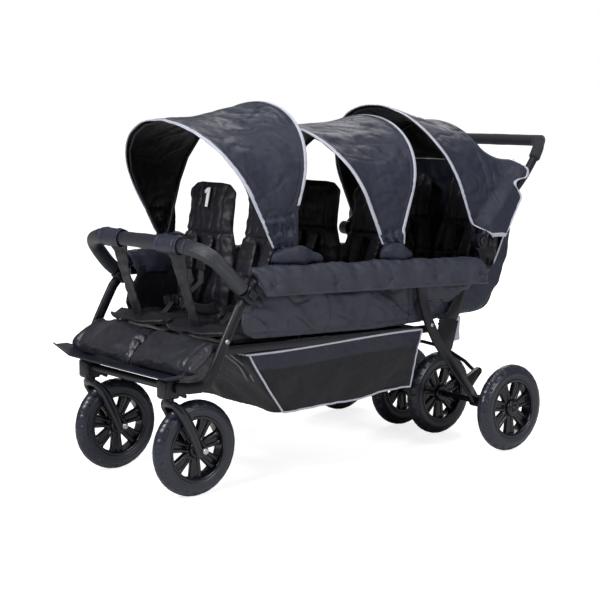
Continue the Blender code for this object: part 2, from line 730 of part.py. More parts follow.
def rear_leg(side, sign):
    """A curved flat-oval leg with an axle eye, a lock gusset and its pin."""
    points = [(REAR_LEG_X, REAR_LEG_PIVOT[0], REAR_LEG_PIVOT[1]), (REAR_LEG_X, 0.168, 0.470),
              (REAR_LEG_X - 0.001, 0.192, 0.410), (REAR_LEG_X - 0.006, 0.232, 0.350),
              (REAR_LEG_X - 0.024, 0.335, 0.246), (REAR_LEG_X - 0.042, 0.405, WHEEL_RADIUS + 0.0515),
              (REAR_LEG_X - 0.058, 0.450, WHEEL_RADIUS + 0.0095)]
    leg = flat_tube("rear_leg_" + side, [(sign * x, y, z) for x, y, z in points], LEG_WIDTH, LEG_THICKNESS)
    pivot_y, pivot_z = REAR_LEG_PIVOT
    half = LEG_THICKNESS / 2
    head = rod("leg_head_" + side, (sign * (REAR_LEG_X - half - GAP), pivot_y, pivot_z),
               (sign * (REAR_LEG_X + half + GAP), pivot_y, pivot_z), LEG_WIDTH / 2 + 0.001, 14)
    axle_x = REAR_LEG_X - 0.061
    eye = rod("axle_eye_" + side, (sign * (axle_x - 0.012), REAR_AXLE_Y, WHEEL_RADIUS),
              (sign * (axle_x + 0.012), REAR_AXLE_Y, WHEEL_RADIUS), AXLE_TUBE_RADIUS + 0.009, 14)
    gusset = side_plate("gusset_" + side,
                        [[(0.246, 0.396), (0.250, 0.414), (0.258, 0.4175), (0.270, 0.414), (0.326, 0.402),
                          (0.317, 0.372), (0.301, 0.321), (0.284, 0.303), (0.247, 0.337), (0.239, 0.366)]],
                        sign * GUSSET_X, GUSSET_THICKNESS, CUTTERS)
    lock_pin = rod("lock_pin_" + side, (sign * GUSSET_X, *LOCK_PIN),
                   (sign * (BRACE_X - 0.001), *LOCK_PIN), LOCK_PIN_RADIUS, 10)
    bracket_y, bracket_z = BRAKE_PIVOT
    bracket = side_plate("brake_bracket_" + side,
                         [[(0.372, bracket_z - 0.022), (0.408, bracket_z - 0.058)]
                          + disc((bracket_y, bracket_z), 0.012, -70, 110, 5)],
                         sign * BRAKE_BRACKET_X, BRAKE_BRACKET_THICKNESS, CUTTERS)
    for tool in (head, eye, bracket, gusset, lock_pin):
        combine(leg, tool, "UNION")
    pivot_bore = rod("leg_pivot_bore_" + side, (sign * (REAR_LEG_X - 0.02), pivot_y, pivot_z),
                     (sign * (REAR_LEG_X + 0.02), pivot_y, pivot_z), PIVOT_PIN_RADIUS + 2 * GAP, 10)
    axle_bore = rod("axle_bore_" + side, (sign * (axle_x - 0.03), REAR_AXLE_Y, WHEEL_RADIUS),
                    (sign * (axle_x + 0.03), REAR_AXLE_Y, WHEEL_RADIUS), AXLE_TUBE_RADIUS + 2 * GAP, 14)
    brake_bore = rod("brake_bore_" + side, (sign * (BRAKE_BRACKET_X - 0.02), bracket_y, bracket_z),
                     (sign * (BRAKE_BRACKET_X + 0.02), bracket_y, bracket_z),
                     BRAKE_TUBE_RADIUS + 2 * GAP, 10)
    for tool in (pivot_bore, axle_bore, brake_bore):
        combine(leg, tool, "DIFFERENCE")
    return finish(leg, FRAME_BLACK, 0.3)


def rear_axle():
    """One turned axle: thick between the wheels, a thin spindle in each hub, a nut at each end."""
    half_hub = HUB_LENGTH / 2 + GAP
    thin = SPINDLE_RADIUS
    thick = AXLE_TUBE_RADIUS
    end = REAR_OUTER_X + half_hub
    right = [(thick, REAR_INNER_X - half_hub), (thin, REAR_INNER_X - half_hub),
             (thin, REAR_INNER_X + half_hub), (thick, REAR_INNER_X + half_hub),
             (thick, REAR_OUTER_X - half_hub), (thin, REAR_OUTER_X - half_hub),
             (thin, end), (thick + 0.001, end), (thick - 0.002, end + 0.006), (0.0, end + 0.008)]
    profile = [(radius, -height) for radius, height in right]
    profile = list(reversed(right)) + profile
    axle = turned("rear_axle", profile, 12, False)
    axle.location = (0.0, REAR_AXLE_Y, WHEEL_RADIUS)
    axle.rotation_euler = (0.0, PI / 2, 0.0)
    return finish(axle, FRAME_BLACK, 0.35, smooth=False)


def brake_bar():
    """The foot bar that spans the rear legs and rises over the inner wheels."""
    y, z = BRAKE_PIVOT
    outer = BRAKE_BRACKET_X + BRAKE_BRACKET_THICKNESS / 2 + 0.001
    left = [(outer - inward, y - share * 0.005, z + BRAKE_ARCH * share)
            for inward, share in ((0.0, 0.0), (0.024, 0.0), (0.040, 0.145), (0.061, 0.371), (0.126, 0.758),
                                  (0.193, 0.952))]
    left.append((0.030, y - 0.005, z + BRAKE_ARCH))
    path = left + [(-x, py, pz) for x, py, pz in reversed(left)]
    bar = tube("brake_bar", path, BRAKE_TUBE_RADIUS, 1)
    return finish(bar, FRAME_BLACK, 0.3)


def lock_brace(side, sign):
    """The brace whose hooked lower end catches the leg's lock pin."""
    y, z = BRACE_PIVOT
    pin_y, pin_z = LOCK_PIN
    notch = LOCK_PIN_RADIUS + 2 * GAP
    outline = ([(y - 0.014, z - 0.008), (0.283, 0.428), (0.270, 0.4205), (pin_y - 0.007, pin_z + 0.013),
                (pin_y - 0.009, pin_z + notch)]
               + disc((pin_y, pin_z), notch, 90, -90, 6)
               + [(pin_y - 0.009, pin_z - notch), (pin_y - 0.007, pin_z - 0.012), (0.275, 0.391),
                  (0.322, 0.399), (0.346, 0.436), (y + 0.014, z - 0.002)]
               + disc((y, z), 0.013, 10, 170, 5))
    brace = side_plate("lock_brace_" + side, [outline, disc((y, z), PIVOT_PIN_RADIUS + 2 * GAP, 360, 36, 9)],
                       sign * BRACE_X, BRACE_THICKNESS)
    return finish(brace, FRAME_BLACK, 0.3)


# Handle

def handle_path():
    """The handle's centre line from the left eye over the cross part to the right eye."""
    ky, kz = KNUCKLE_CENTRE
    left = [(HANDLE_X, ky, kz), (HANDLE_X, 0.500, 0.7275), (HANDLE_X - 0.001, 0.606, 0.830),
            (HANDLE_X - 0.00325, *GRIP_START),
            (HANDLE_X - 0.0045, 0.6535, 0.8865), (HANDLE_X - 0.012, 0.676, 0.914),
            (HANDLE_X - 0.030, 0.688, 0.928), (HANDLE_X - 0.055, 0.692, 0.932)]
    return left + [(-x, y, z) for x, y, z in reversed(left)]


def push_handle():
    """A bent tube with a round eye at each end, on the rail brackets' pins."""
    ky, kz = KNUCKLE_CENTRE
    handle = tube("push_handle", handle_path(), HANDLE_RADIUS, 2)
    for side, sign in SIDES:
        inner = 0.2945
        outer = KNUCKLE_OUTER_X
        eye = rod("handle_eye_" + side, (sign * inner, ky, kz), (sign * outer, ky, kz), KNUCKLE_RADIUS, 16)
        combine(handle, eye, "UNION")
        slab = box_tool("handle_side_" + side, (sign * (inner - 0.015), ky, kz), (0.030, 0.08, 0.08))
        combine(handle, slab, "DIFFERENCE")
        bore = rod("handle_bore_" + side, (sign * (inner - 0.005), ky, kz), (sign * 0.3010, ky, kz),
                   PIVOT_PIN_RADIUS + 0.002 + 2 * GAP, 12)
        combine(handle, bore, "DIFFERENCE")
        well = rod("button_well_" + side, (sign * (outer - 0.008), ky, kz), (sign * (outer + 0.01), ky, kz),
                   KNUCKLE_BUTTON_RADIUS + GAP, 12)
        combine(handle, well, "DIFFERENCE")
    return finish(handle, FRAME_BLACK, 0.3)


def handle_button(side, sign):
    """The round release button in the handle's eye."""
    ky, kz = KNUCKLE_CENTRE
    outer = KNUCKLE_OUTER_X
    inner = outer - 0.008 + GAP + KNUCKLE_BUTTON_TRAVEL
    button = rod("handle_button_" + side, (sign * inner, ky, kz), (sign * (outer + 0.005), ky, kz),
                 KNUCKLE_BUTTON_RADIUS, 12, PARTS)
    soften = button.modifiers.new("edge", "BEVEL")
    soften.width = 0.0012
    soften.segments = 1
    soften.limit_method = "ANGLE"
    soften.angle_limit = math.radians(60)
    return finish(button, FRAME_BLACK, 0.5)


def sleeve(name, path, radius, core_path, core_radius, colour, roughness):
    """A foam sleeve: a round tube along a path, bored for the bar that runs through it."""
    obj = tube(name, path, radius, 2)
    core = tube(name + "_bore", core_path, core_radius + GAP, 2, collection=CUTTERS)
    combine(obj, core, "DIFFERENCE")
    return finish(obj, colour, roughness)


def handle_grip():
    """The foam grip over the handle's cross part and its corners."""
    path = handle_path()
    return sleeve("handle_grip", path[3:-3], GRIP_RADIUS, path, HANDLE_RADIUS, SEAT_BLACK, 0.8)


def bumper_path(start_inside):
    """The bumper bar's centre line, from the left clamp block to the right one."""
    direction = arm_direction()
    centre = Vector(CLAMP_CENTRE)
    start = centre + direction * start_inside
    knee = centre + direction * (CLAMP_HALF[1] + 0.040)
    left = [tuple(start), tuple(knee), (0.299, -0.562, 0.633), (0.280, -0.584, 0.657),
            (0.250, -0.596, 0.669), (0.215, BUMPER_FRONT_Y + 0.003, BUMPER_TOP_Z - 0.003),
            (0.175, BUMPER_FRONT_Y, BUMPER_TOP_Z)]
    return left + [(-x, y, z) for x, y, z in reversed(left)]


def bumper_bar():
    """The removable front bar, whose ends plug into the clamp blocks."""
    bar = tube("bumper_bar", bumper_path(BAR_INSERT), BUMPER_RADIUS, 2)
    return finish(bar, FRAME_BLACK, 0.3)


def bumper_sleeve():
    """The ribbed textile-covered foam on the front bar."""
    return sleeve("bumper_sleeve", bumper_path(CLAMP_HALF[1] + 0.004), SLEEVE_RADIUS,
                  bumper_path(BAR_INSERT), BUMPER_RADIUS, CLOTH_BLUE_GREY, 0.85)


def crotch_strap(side, sign):
    """A wide strap that loops round the front bar and runs down to the seat's front."""
    centre = (BUMPER_FRONT_Y, BUMPER_TOP_Z)
    inner = bore_radius(SLEEVE_RADIUS, 14)
    outer = inner + CLOTH
    tail = [(-0.5315, 0.4490), (-0.5255, 0.4490), (-0.5395, 0.560)]
    outline = [(-0.582, 0.636)] + disc(centre, outer, -40, 250, 12) + [(-0.600, 0.640), (-0.562, 0.560)] + tail
    hole = disc(centre, inner, 360, 24, 14)
    strap = side_plate("crotch_strap_" + side, [outline, hole], sign * SEAT_X, 0.046)
    return finish(strap, SEAT_BLACK, 0.85)


# Seats and padded pieces

def seat_sections():
    """Stations of a seat from its front lip to the top of the headrest.

    Each is the top point (y, z) past the seat's crease, the direction of the pad's thickness,
    the thickness and the half width.
    """
    wide = SEAT_HALF_WIDTH
    head = HEADREST_HALF_WIDTH
    return [((-0.218, 0.006), (0.55, -0.84), 0.022, wide * 0.86),
            ((-0.190, 0.018), (0.10, -1.0), SEAT_THICKNESS, wide),
            ((-0.110, 0.014), (0.0, -1.0), SEAT_THICKNESS, wide),
            ((-0.020, 0.012), (0.35, -0.94), SEAT_THICKNESS, wide),
            ((0.002, 0.080), (0.99, -0.12), SEAT_THICKNESS, wide),
            ((0.018, 0.180), (0.99, -0.12), SEAT_THICKNESS, wide * 0.97),
            ((0.030, 0.268), (0.99, -0.12), SEAT_THICKNESS * 0.8, head * 0.94),
            ((0.036, 0.312), (0.99, -0.12), SEAT_THICKNESS, head),
            ((0.046, 0.387), (0.95, -0.30), 0.020, head * 0.84)]


def seat(row, side, sign):
    """A padded bucket: cushion, back and headrest as one crowned body with drawn-in edges."""
    y0 = FIRST_SEAT_Y + SEAT_PITCH * (row - 1)
    carriers = (lower_rail_z(CROSS_TUBE_YS[0]) + CROSS_TUBE_RADIUS,
                lower_rail_z(CROSS_TUBE_YS[1]) + CROSS_TUBE_RADIUS, TUB_FLOOR_Z + CLOTH / 2)
    z0 = carriers[row - 1] + SEAT_SETTLE[row - 1]
    rings = []
    columns = (-1.0, -0.5, 0.5, 1.0)
    for (y, z), (ny, nz), thickness, half in seat_sections():
        top = []
        bottom = []
        for share in columns:
            crown = 0.006 * (1.0 - share ** 2) - (0.004 if abs(share) == 1.0 else 0.0)
            x = sign * SEAT_X + share * half
            top.append((x, y0 + y - ny * crown, z0 + z - nz * crown))
            inset = 0.006 if abs(share) == 1.0 else 0.0
            depth = thickness - inset
            bottom.append((x, y0 + y + ny * depth, z0 + z + nz * depth))
        rings.append(top + list(reversed(bottom)))
    number = 2 * row - (1 if sign > 0 else 0)
    obj = loft("seat_%d" % number, rings)
    smooth = obj.modifiers.new("padding", "SUBSURF")
    smooth.levels = 1
    smooth.render_levels = 1
    return finish(obj, SEAT_BLACK, 0.85)


def leg_rest():
    """Two puffed calf pads, sewn together in the middle, between seat fronts and footplate."""
    rings = []
    columns = ((-0.268, 0.010), (-0.235, 0.040), (-0.14, 0.052), (-0.035, 0.036), (0.0, 0.012),
               (0.035, 0.036), (0.14, 0.052), (0.235, 0.040), (0.268, 0.010))
    top = Vector((0.0, -0.532, 0.424 + LEG_REST_SETTLE))
    bottom = Vector((0.0, CASTER_Y + 0.042, HOUSING_TOP_Z + 0.006 + LEG_REST_SETTLE))
    normal = Vector((0.0, -0.70, 0.72))
    for x, thickness in columns:
        ring = []
        for share, puff in ((0.0, 0.45), (0.22, 0.95), (0.55, 1.0), (0.85, 0.85), (1.0, 0.40)):
            point = top.lerp(bottom, share) + normal * thickness * puff / 2
            ring.append((x, point.y, point.z))
        for share, puff in ((1.0, 0.30), (0.5, 0.5), (0.0, 0.30)):
            point = top.lerp(bottom, share) - normal * thickness * puff / 2
            ring.append((x, point.y, point.z))
        rings.append(ring)
    obj = loft("leg_rest", rings)
    smooth = obj.modifiers.new("padding", "SUBSURF")
    smooth.levels = 1
    smooth.render_levels = 1
    return finish(obj, SEAT_BLACK, 0.85)


def panel_section():
    """Points (dx, dz) round the side panel's section, from the rail's axis."""
    return [(0.0290, -0.040), (0.0310, 0.000), (0.0260, 0.024), (0.0100, 0.036), (-0.0100, 0.036),
            (-0.0240, 0.024), (-0.0260, 0.000), (-0.0260, -0.060), (-0.0255, -0.120), (-0.0230, -0.158),
            (-0.0180, -0.160), (-0.0165, -0.120), (-0.0175, -0.060), (-0.0165, 0.000), (-0.0125, 0.0095),
            (0.0000, 0.0140), (0.0125, 0.0095), (0.0175, 0.000), (0.0215, -0.040)]


def panel_span(dz):
    """Front and rear limits in Y of the side panel at a height below the rail."""
    front = ((0.036, -0.466), (0.0, -0.450), (-0.040, -0.430), (-0.060, -0.452), (-0.120, -0.478),
             (-0.160, -0.462))
    rear = ((0.036, 0.404), (0.0, 0.418), (-0.040, 0.420), (-0.060, 0.392), (-0.120, 0.270),
            (-0.160, 0.186))
    limits = []
    for table in (front, rear):
        for (z_high, y_high), (z_low, y_low) in zip(table, table[1:]):
            if z_low <= dz <= z_high:
                limits.append(lerp(y_high, y_low, (z_high - dz) / (z_high - z_low)))
                break
    return limits


def side_panel(side, sign):
    """The padded rail cover with the quilted panel that hangs below it."""
    stations = (0.0, 0.04, 0.13, 0.22, 0.33, 0.45, 0.56, 0.68, 0.80, 0.92, 1.0)
    puffs = (0.0, 0.6, 1.0, 0.2, 0.9, 0.25, 0.8, 0.2, 0.6, 0.2, 0.0)
    rings = []
    for station, puff in zip(stations, puffs):
        ring = []
        for dx, dz in panel_section():
            front, rear = panel_span(dz)
            y = lerp(front, rear, station)
            bulge = 0.0
            if dx > 0.02 and dz > -0.04:
                bulge = 0.003 * puff
            elif -0.0185 < dx < -0.015 and dz < -0.05:
                bulge = 0.0015 * puff
            taper = 0.010 * max(0.0, (y - 0.0) / 0.186) if dz < -0.10 else 0.0
            ring.append((sign * (RAIL_X + dx + bulge), y, rail_z(min(y, 0.44)) + dz + taper))
        rings.append(ring)
    obj = loft("side_panel_" + side, rings)
    return finish(obj, CLOTH_BLUE_GREY, 0.8)


def basket():
    """The storage basket: an open tapering box of cloth and mesh under the lower rails."""
    top_drop = LOWER_RAIL_HEIGHT / 2 + 0.0020
    front_y, rear_y = LOWER_RAIL_FRONT[0] + 0.104, LOWER_RAIL_REAR[0] - 0.024
    floor_front_y, floor_rear_y = front_y + 0.137, rear_y - 0.020
    half_top = LOWER_RAIL_X + CLOTH / 2
    half_floor = LOWER_RAIL_X - 0.017
    bm = bmesh.new()
    rim = []
    for x, y in ((half_top, front_y), (half_top, rear_y), (-half_top, rear_y), (-half_top, front_y)):
        rim.append(bm.verts.new((x, y, lower_rail_z(y) - top_drop)))
    floor = []
    for x, y, z in ((half_floor, floor_front_y, BASKET_FLOOR_Z), (half_floor, floor_rear_y, BASKET_FLOOR_Z + 0.014),
                    (-half_floor, floor_rear_y, BASKET_FLOOR_Z + 0.014), (-half_floor, floor_front_y, BASKET_FLOOR_Z)):
        floor.append(bm.verts.new((x, y, z)))
    for index in range(4):
        following = (index + 1) % 4
        bm.faces.new((rim[index], rim[following], floor[following], floor[index]))
    bm.faces.new(floor)
    obj = mesh_object("basket", bm)
    solid = obj.modifiers.new("cloth", "SOLIDIFY")
    solid.thickness = CLOTH
    solid.offset = -1.0
    PARTS.objects.link(obj)
    return finish(obj, SEAT_BLACK, 0.85, smooth=False)


def rear_tub():
    """The cloth trough under the rear seats, whose back rises between the handle's tubes."""
    floor = TUB_FLOOR_Z
    seat_y = FIRST_SEAT_Y + 2 * SEAT_PITCH
    profile = [(-0.265, floor - 0.008, 0.470), (-0.190, floor - 0.004, 0.520), (-0.110, floor, 0.524),
               (-0.010, floor, 0.524), (0.022, 0.433, 0.530), (0.042, 0.464, 0.545), (0.056, 0.510, 0.562),
               (0.072, 0.580, 0.600), (0.092, 0.670, 0.682), (0.108, 0.750, 0.762), (0.123, 0.838, 0.848)]
    rows = []
    for behind, z, wall_top in profile:
        y = seat_y + behind
        half = TUB_HALF_WIDTH - 0.014 * max(0.0, z - 0.55) / 0.29
        corner = min(0.006, (wall_top - z) / 2)
        rows.append([(-half, y, wall_top), (-half, y, z + corner), (-half + corner, y, z), (0.0, y, z),
                     (half - corner, y, z), (half, y, z + corner), (half, y, wall_top)])
    return finish(sheet("rear_tub", rows, CLOTH), SEAT_BLACK, 0.85)


# Canopies

CANOPIES = (
    {"half": 0.283, "front_y": -0.354, "front_tilt": 26.7, "front_rise": 0.404,
     "rear_y": -0.332, "rear_tilt": 16.1, "rear_rise": 0.4225},
    {"half": 0.283, "front_y": 0.046, "front_tilt": 24.2, "front_rise": 0.391,
     "rear_y": 0.0825, "rear_tilt": 16.7, "rear_rise": 0.398},
    {"half": 0.277, "front_y": 0.4425, "front_tilt": 23.75, "front_rise": 0.473,
     "rear_y": 0.478, "rear_tilt": 1.5, "rear_rise": 0.386},
)


def front_half(canopy):
    """Half width of a canopy's front hoop, which swings inside the rear one."""
    return canopy["half"] - CANOPY_STEP_IN


def clip_middle(canopy):
    """Distance of a canopy's clip blocks from the middle plane."""
    return canopy["half"] + 0.001


def clip_base(canopy):
    """Height of the underside of a canopy's clip blocks, which stand on the rail covers' shoulder."""
    outer = clip_middle(canopy) + CLIP_THICKNESS / 2
    drop = max(0.0, RAIL_X - COVER_FLAT - outer) * 12 / 14
    return rail_z(canopy["front_y"] - CLIP_END) + COVER_TOP - drop + 2 * GAP


def clip_z(canopy):
    """Height of a canopy's bow feet above the ground: clip blocks stand on the rail covers."""
    return clip_base(canopy) + CLIP_HEIGHT * 0.6


def bow_points(half_width, rise, tilt_deg, foot_y, foot_z, backward, grow=0.0):
    """Centre line of a hoop: straight legs and an elliptical top, leaning by the tilt."""
    steps = 10
    straight = rise * 0.44
    lean = math.radians(tilt_deg) * (1.0 if backward else -1.0)
    flat = [(half_width + grow, 0.0), (half_width + grow, CLOTH_FOOT), (half_width + grow, straight * 0.6)]
    for index in range(steps + 1):
        angle = PI * index / steps
        flat.append(((half_width + grow) * math.cos(angle),
                     straight + (rise + grow - straight) * math.sin(angle)))
    flat += [(-half_width - grow, straight * 0.6), (-half_width - grow, CLOTH_FOOT), (-half_width - grow, 0.0)]
    return [(x, foot_y + h * math.sin(lean), foot_z + h * math.cos(lean)) for x, h in flat]


def canopy_rear_bow(index, canopy):
    """The fixed hoop, with a clip block on each rail cover that carries the front hoop's pin."""
    z = clip_z(canopy)
    name = "canopy_%d_rear_bow" % index
    bow = tube(name, bow_points(canopy["half"], canopy["rear_rise"], canopy["rear_tilt"], canopy["rear_y"], z,
                                True), BOW_RADIUS, 1)
    for side, sign in SIDES:
        front = canopy["front_y"] - CLIP_END
        rear = canopy["rear_y"] + CLIP_END
        base = clip_base(canopy)
        top = z + 0.012
        outline = [(front, base), (rear, base), (rear, top - 0.004), (rear - 0.004, top), (front + 0.004, top),
                   (front, top - 0.004)]
        clip = side_plate("clip_%d_%s" % (index, side), [outline], sign * clip_middle(canopy), CLIP_THICKNESS,
                          CUTTERS)
        combine(bow, clip, "UNION")
        pin = rod("bow_pin_%d_%s" % (index, side), (sign * canopy["half"], canopy["front_y"], z),
                  (sign * (front_half(canopy) - 0.0055), canopy["front_y"], z), BOW_PIN_RADIUS, 8)
        combine(bow, pin, "UNION")
    return finish(bow, FRAME_BLACK, 0.4)


def canopy_front_bow(index, canopy):
    """The swinging hoop, with an eye at each foot."""
    z = clip_z(canopy)
    name = "canopy_%d_front_bow" % index
    half = front_half(canopy)
    bow = tube(name, bow_points(half, canopy["front_rise"], canopy["front_tilt"],
                                canopy["front_y"], z, False), BOW_RADIUS, 1)
    for side, sign in SIDES:
        eye = rod("bow_eye_%d_%s" % (index, side), (sign * (half - 0.005), canopy["front_y"], z),
                  (sign * (half + 0.005), canopy["front_y"], z), 0.008, 8)
        combine(bow, eye, "UNION")
    for side, sign in SIDES:
        bore = rod("bow_bore_%d_%s" % (index, side), (sign * (half - 0.02), canopy["front_y"], z),
                   (sign * (half + 0.02), canopy["front_y"], z), BOW_PIN_RADIUS + 2 * GAP, 8)
        combine(bow, bore, "DIFFERENCE")
    return finish(bow, FRAME_BLACK, 0.4)


def canopy_rows(canopy):
    """Rows of points of a canopy's cloth, from beyond its front hoop to beyond its rear hoop."""
    z = clip_z(canopy)
    grow = BOW_RADIUS + CLOTH / 2 + GAP
    front = bow_points(front_half(canopy), canopy["front_rise"], canopy["front_tilt"], canopy["front_y"], z,
                       False, grow)
    rear = bow_points(canopy["half"], canopy["rear_rise"], canopy["rear_tilt"], canopy["rear_y"], z, True, grow)
    rows = []
    for share in (-0.04, 0.33, 0.67, 1.04):
        line = []
        for low, high in zip(front[1:-1], rear[1:-1]):
            middle = Vector(low).lerp(Vector(high), share)
            bulge = 0.005 * math.sin(PI * min(max(share, 0.0), 1.0))
            radial = Vector((middle.x, 0.0, max(0.0, middle.z - z - 0.16)))
            middle += radial.normalized() * bulge
            line.append(tuple(middle))
        rows.append(line)
    return rows


def canopy_fabric(index, canopy):
    """The cloth stretched over the two hoops, waisted between them."""
    obj = sheet("canopy_%d_fabric" % index, canopy_rows(canopy), CLOTH)
    return finish(obj, CLOTH_BLUE_GREY, 0.8)


def rear_hood():
    """The cloth that runs from the last canopy's rear edge down to the handle's tubes."""
    rows = canopy_rows(CANOPIES[2])
    start = []
    for before, edge in zip(rows[-2], rows[-1]):
        run = Vector(edge) - Vector(before)
        start.append(tuple(Vector(edge) + run.normalized() * (CLOTH / 2)))
    half = 0.2715
    back = [(half, 0.489, 0.655), (half, 0.508, 0.711), (half, 0.536, 0.768), (half, 0.558, 0.800),
            (half, 0.580, 0.839), (half * 0.85, 0.593, 0.860), (half * 0.45, 0.602, 0.868)]
    ring = back + [(0.0, 0.604, 0.870)] + [(-x, y, zz) for x, y, zz in reversed(back)]
    rows = [start, [tuple(Vector(a).lerp(Vector(b), 0.5)) for a, b in zip(start, ring)], ring]
    obj = sheet("rear_hood", rows, CLOTH)
    return finish(obj, CLOTH_BLUE_GREY, 0.8)


def main():
    undercarriage = pivot("rear_leg_fold", (0.0, *REAR_LEG_PIVOT))
    lock = pivot("brace_release", (0.0, *BRACE_PIVOT))
    handle_axis = pivot("handle_hinge", (0.0, *KNUCKLE_CENTRE))
    bar_axis = pivot("bumper_bar_pull", CLAMP_CENTRE)
    front_axle_beam()
    footplate()
    lower_frame()
    for side, sign in SIDES:
        caster = pivot("caster_swivel_" + side, (sign * CASTER_X, CASTER_Y, HOUSING_BOTTOM_Z))
        hang(front_fork(side, sign), caster)
        wheel("front_" + side, (sign * CASTER_X, CASTER_Y + CASTER_TRAIL, WHEEL_RADIUS), caster)
        lever_axis = pivot("swivel_lock_axis_" + side, (sign * CASTER_X, *LEVER_PIVOT))
        hang(swivel_lock(side, sign), lever_axis)
        side_rail(side, sign)
        front_leg(side, sign)
        bar_button(side, sign)
        hang(rear_leg(side, sign), undercarriage)
        hang(lock_brace(side, sign), lock)
        hang(handle_button(side, sign), handle_axis)
        hang(crotch_strap(side, sign), bar_axis)
        side_panel(side, sign)
        for place_name, x in (("outer", REAR_OUTER_X), ("inner", REAR_INNER_X)):
            wheel("rear_%s_%s" % (place_name, side), (sign * x, REAR_AXLE_Y, WHEEL_RADIUS), undercarriage)
        for row in (1, 2, 3):
            seat(row, side, sign)
    hang(rear_axle(), undercarriage)
    hang(brake_bar(), hang(pivot("brake_press", (0.0, *BRAKE_PIVOT)), undercarriage))
    hang(push_handle(), handle_axis)
    hang(handle_grip(), handle_axis)
    hang(bumper_bar(), bar_axis)
    hang(bumper_sleeve(), bar_axis)
    leg_rest()
    basket()
    rear_tub()
    for index, canopy in enumerate(CANOPIES, start=1):
        canopy_rear_bow(index, canopy)
        swing = pivot("canopy_%d_fold" % index, (0.0, canopy["front_y"], clip_z(canopy)))
        hang(canopy_front_bow(index, canopy), swing)
        canopy_fabric(index, canopy)
    rear_hood()


main()
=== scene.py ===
"""Looks of the six-seat stroller: cloth, padding, wheels, tubes and studio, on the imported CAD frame.

Metres, +Z up, front casters toward -Y, +X is the stroller's left side, ground at Z = 0.
"""

import json
import logging
import math
from collections.abc import Callable, Iterable, Sequence
from dataclasses import dataclass, field
from enum import Enum

import bmesh
import bpy
import numpy as np
from mathutils import Matrix, Vector

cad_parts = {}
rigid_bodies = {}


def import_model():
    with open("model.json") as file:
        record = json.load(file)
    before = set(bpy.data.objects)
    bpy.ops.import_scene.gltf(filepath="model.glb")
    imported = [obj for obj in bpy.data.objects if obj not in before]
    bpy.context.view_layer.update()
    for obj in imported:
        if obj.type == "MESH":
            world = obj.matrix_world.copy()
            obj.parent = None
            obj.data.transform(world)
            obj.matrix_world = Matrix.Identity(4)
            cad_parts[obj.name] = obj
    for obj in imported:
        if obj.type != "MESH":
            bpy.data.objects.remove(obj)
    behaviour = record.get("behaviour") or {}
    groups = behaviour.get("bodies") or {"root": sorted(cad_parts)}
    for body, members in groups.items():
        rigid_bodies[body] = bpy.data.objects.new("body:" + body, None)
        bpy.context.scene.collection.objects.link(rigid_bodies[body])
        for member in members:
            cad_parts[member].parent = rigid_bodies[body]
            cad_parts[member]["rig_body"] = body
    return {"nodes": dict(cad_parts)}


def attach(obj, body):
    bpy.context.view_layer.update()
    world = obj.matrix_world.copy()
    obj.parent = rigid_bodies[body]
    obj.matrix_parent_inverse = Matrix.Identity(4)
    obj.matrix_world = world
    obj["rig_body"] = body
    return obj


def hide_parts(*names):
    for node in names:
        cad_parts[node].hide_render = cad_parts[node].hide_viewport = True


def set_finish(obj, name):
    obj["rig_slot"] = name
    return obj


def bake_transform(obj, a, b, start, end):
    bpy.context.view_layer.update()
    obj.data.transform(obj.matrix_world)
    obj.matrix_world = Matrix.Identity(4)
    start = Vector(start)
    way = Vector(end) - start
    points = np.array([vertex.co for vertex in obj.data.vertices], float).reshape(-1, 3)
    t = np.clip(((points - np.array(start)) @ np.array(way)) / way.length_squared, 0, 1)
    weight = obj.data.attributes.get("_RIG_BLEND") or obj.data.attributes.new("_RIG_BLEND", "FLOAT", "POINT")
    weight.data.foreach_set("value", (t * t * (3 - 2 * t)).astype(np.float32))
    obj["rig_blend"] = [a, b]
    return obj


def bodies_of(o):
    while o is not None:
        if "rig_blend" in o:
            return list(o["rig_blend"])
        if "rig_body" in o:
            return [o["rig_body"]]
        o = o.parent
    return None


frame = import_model()

LOG = logging.getLogger("six_seat_stroller")
PI = math.pi
Colour = tuple[float, float, float]
Point = tuple[float, float, float]
Array = np.ndarray
Piece = bpy.types.Object
Socket = bpy.types.NodeSocket
Material = bpy.types.Material
Noise = tuple[float, float, float]

MERGE = 0.00002
CLOTH = 0.0014
HEAVY_CLOTH = 0.0016
TAPE_WIDTH = 0.0100
CREASED_EDGE = math.radians(38.0)
WHEEL_RADIUS = 0.1325
WHEELS = {"front_": (0.195, -0.576), "rear_outer_": (0.385, 0.460), "rear_inner_": (0.084, 0.460)}
KNUCKLE = (0.407, 0.637)


class Side(Enum):
    """The two sides of the stroller, each with its direction along X."""

    LEFT = 1
    RIGHT = -1

    @property
    def word(self) -> str:
        """The side's name as the CAD nodes spell it."""
        return self.name.lower()


def srgb(red: int, green: int, blue: int) -> Colour:
    """A display colour in 0 to 255 as linear light.

    Args:
        red: Red as seen on a screen.
        green: Green as seen on a screen.
        blue: Blue as seen on a screen.

    Returns:
        The same colour as linear red, green and blue.
    """
    def linear(value: int) -> float:
        """One channel as linear light."""
        share = value / 255
        return share / 12.92 if share <= 0.04045 else ((share + 0.055) / 1.055) ** 2.4

    return linear(red), linear(green), linear(blue)


# Finishes

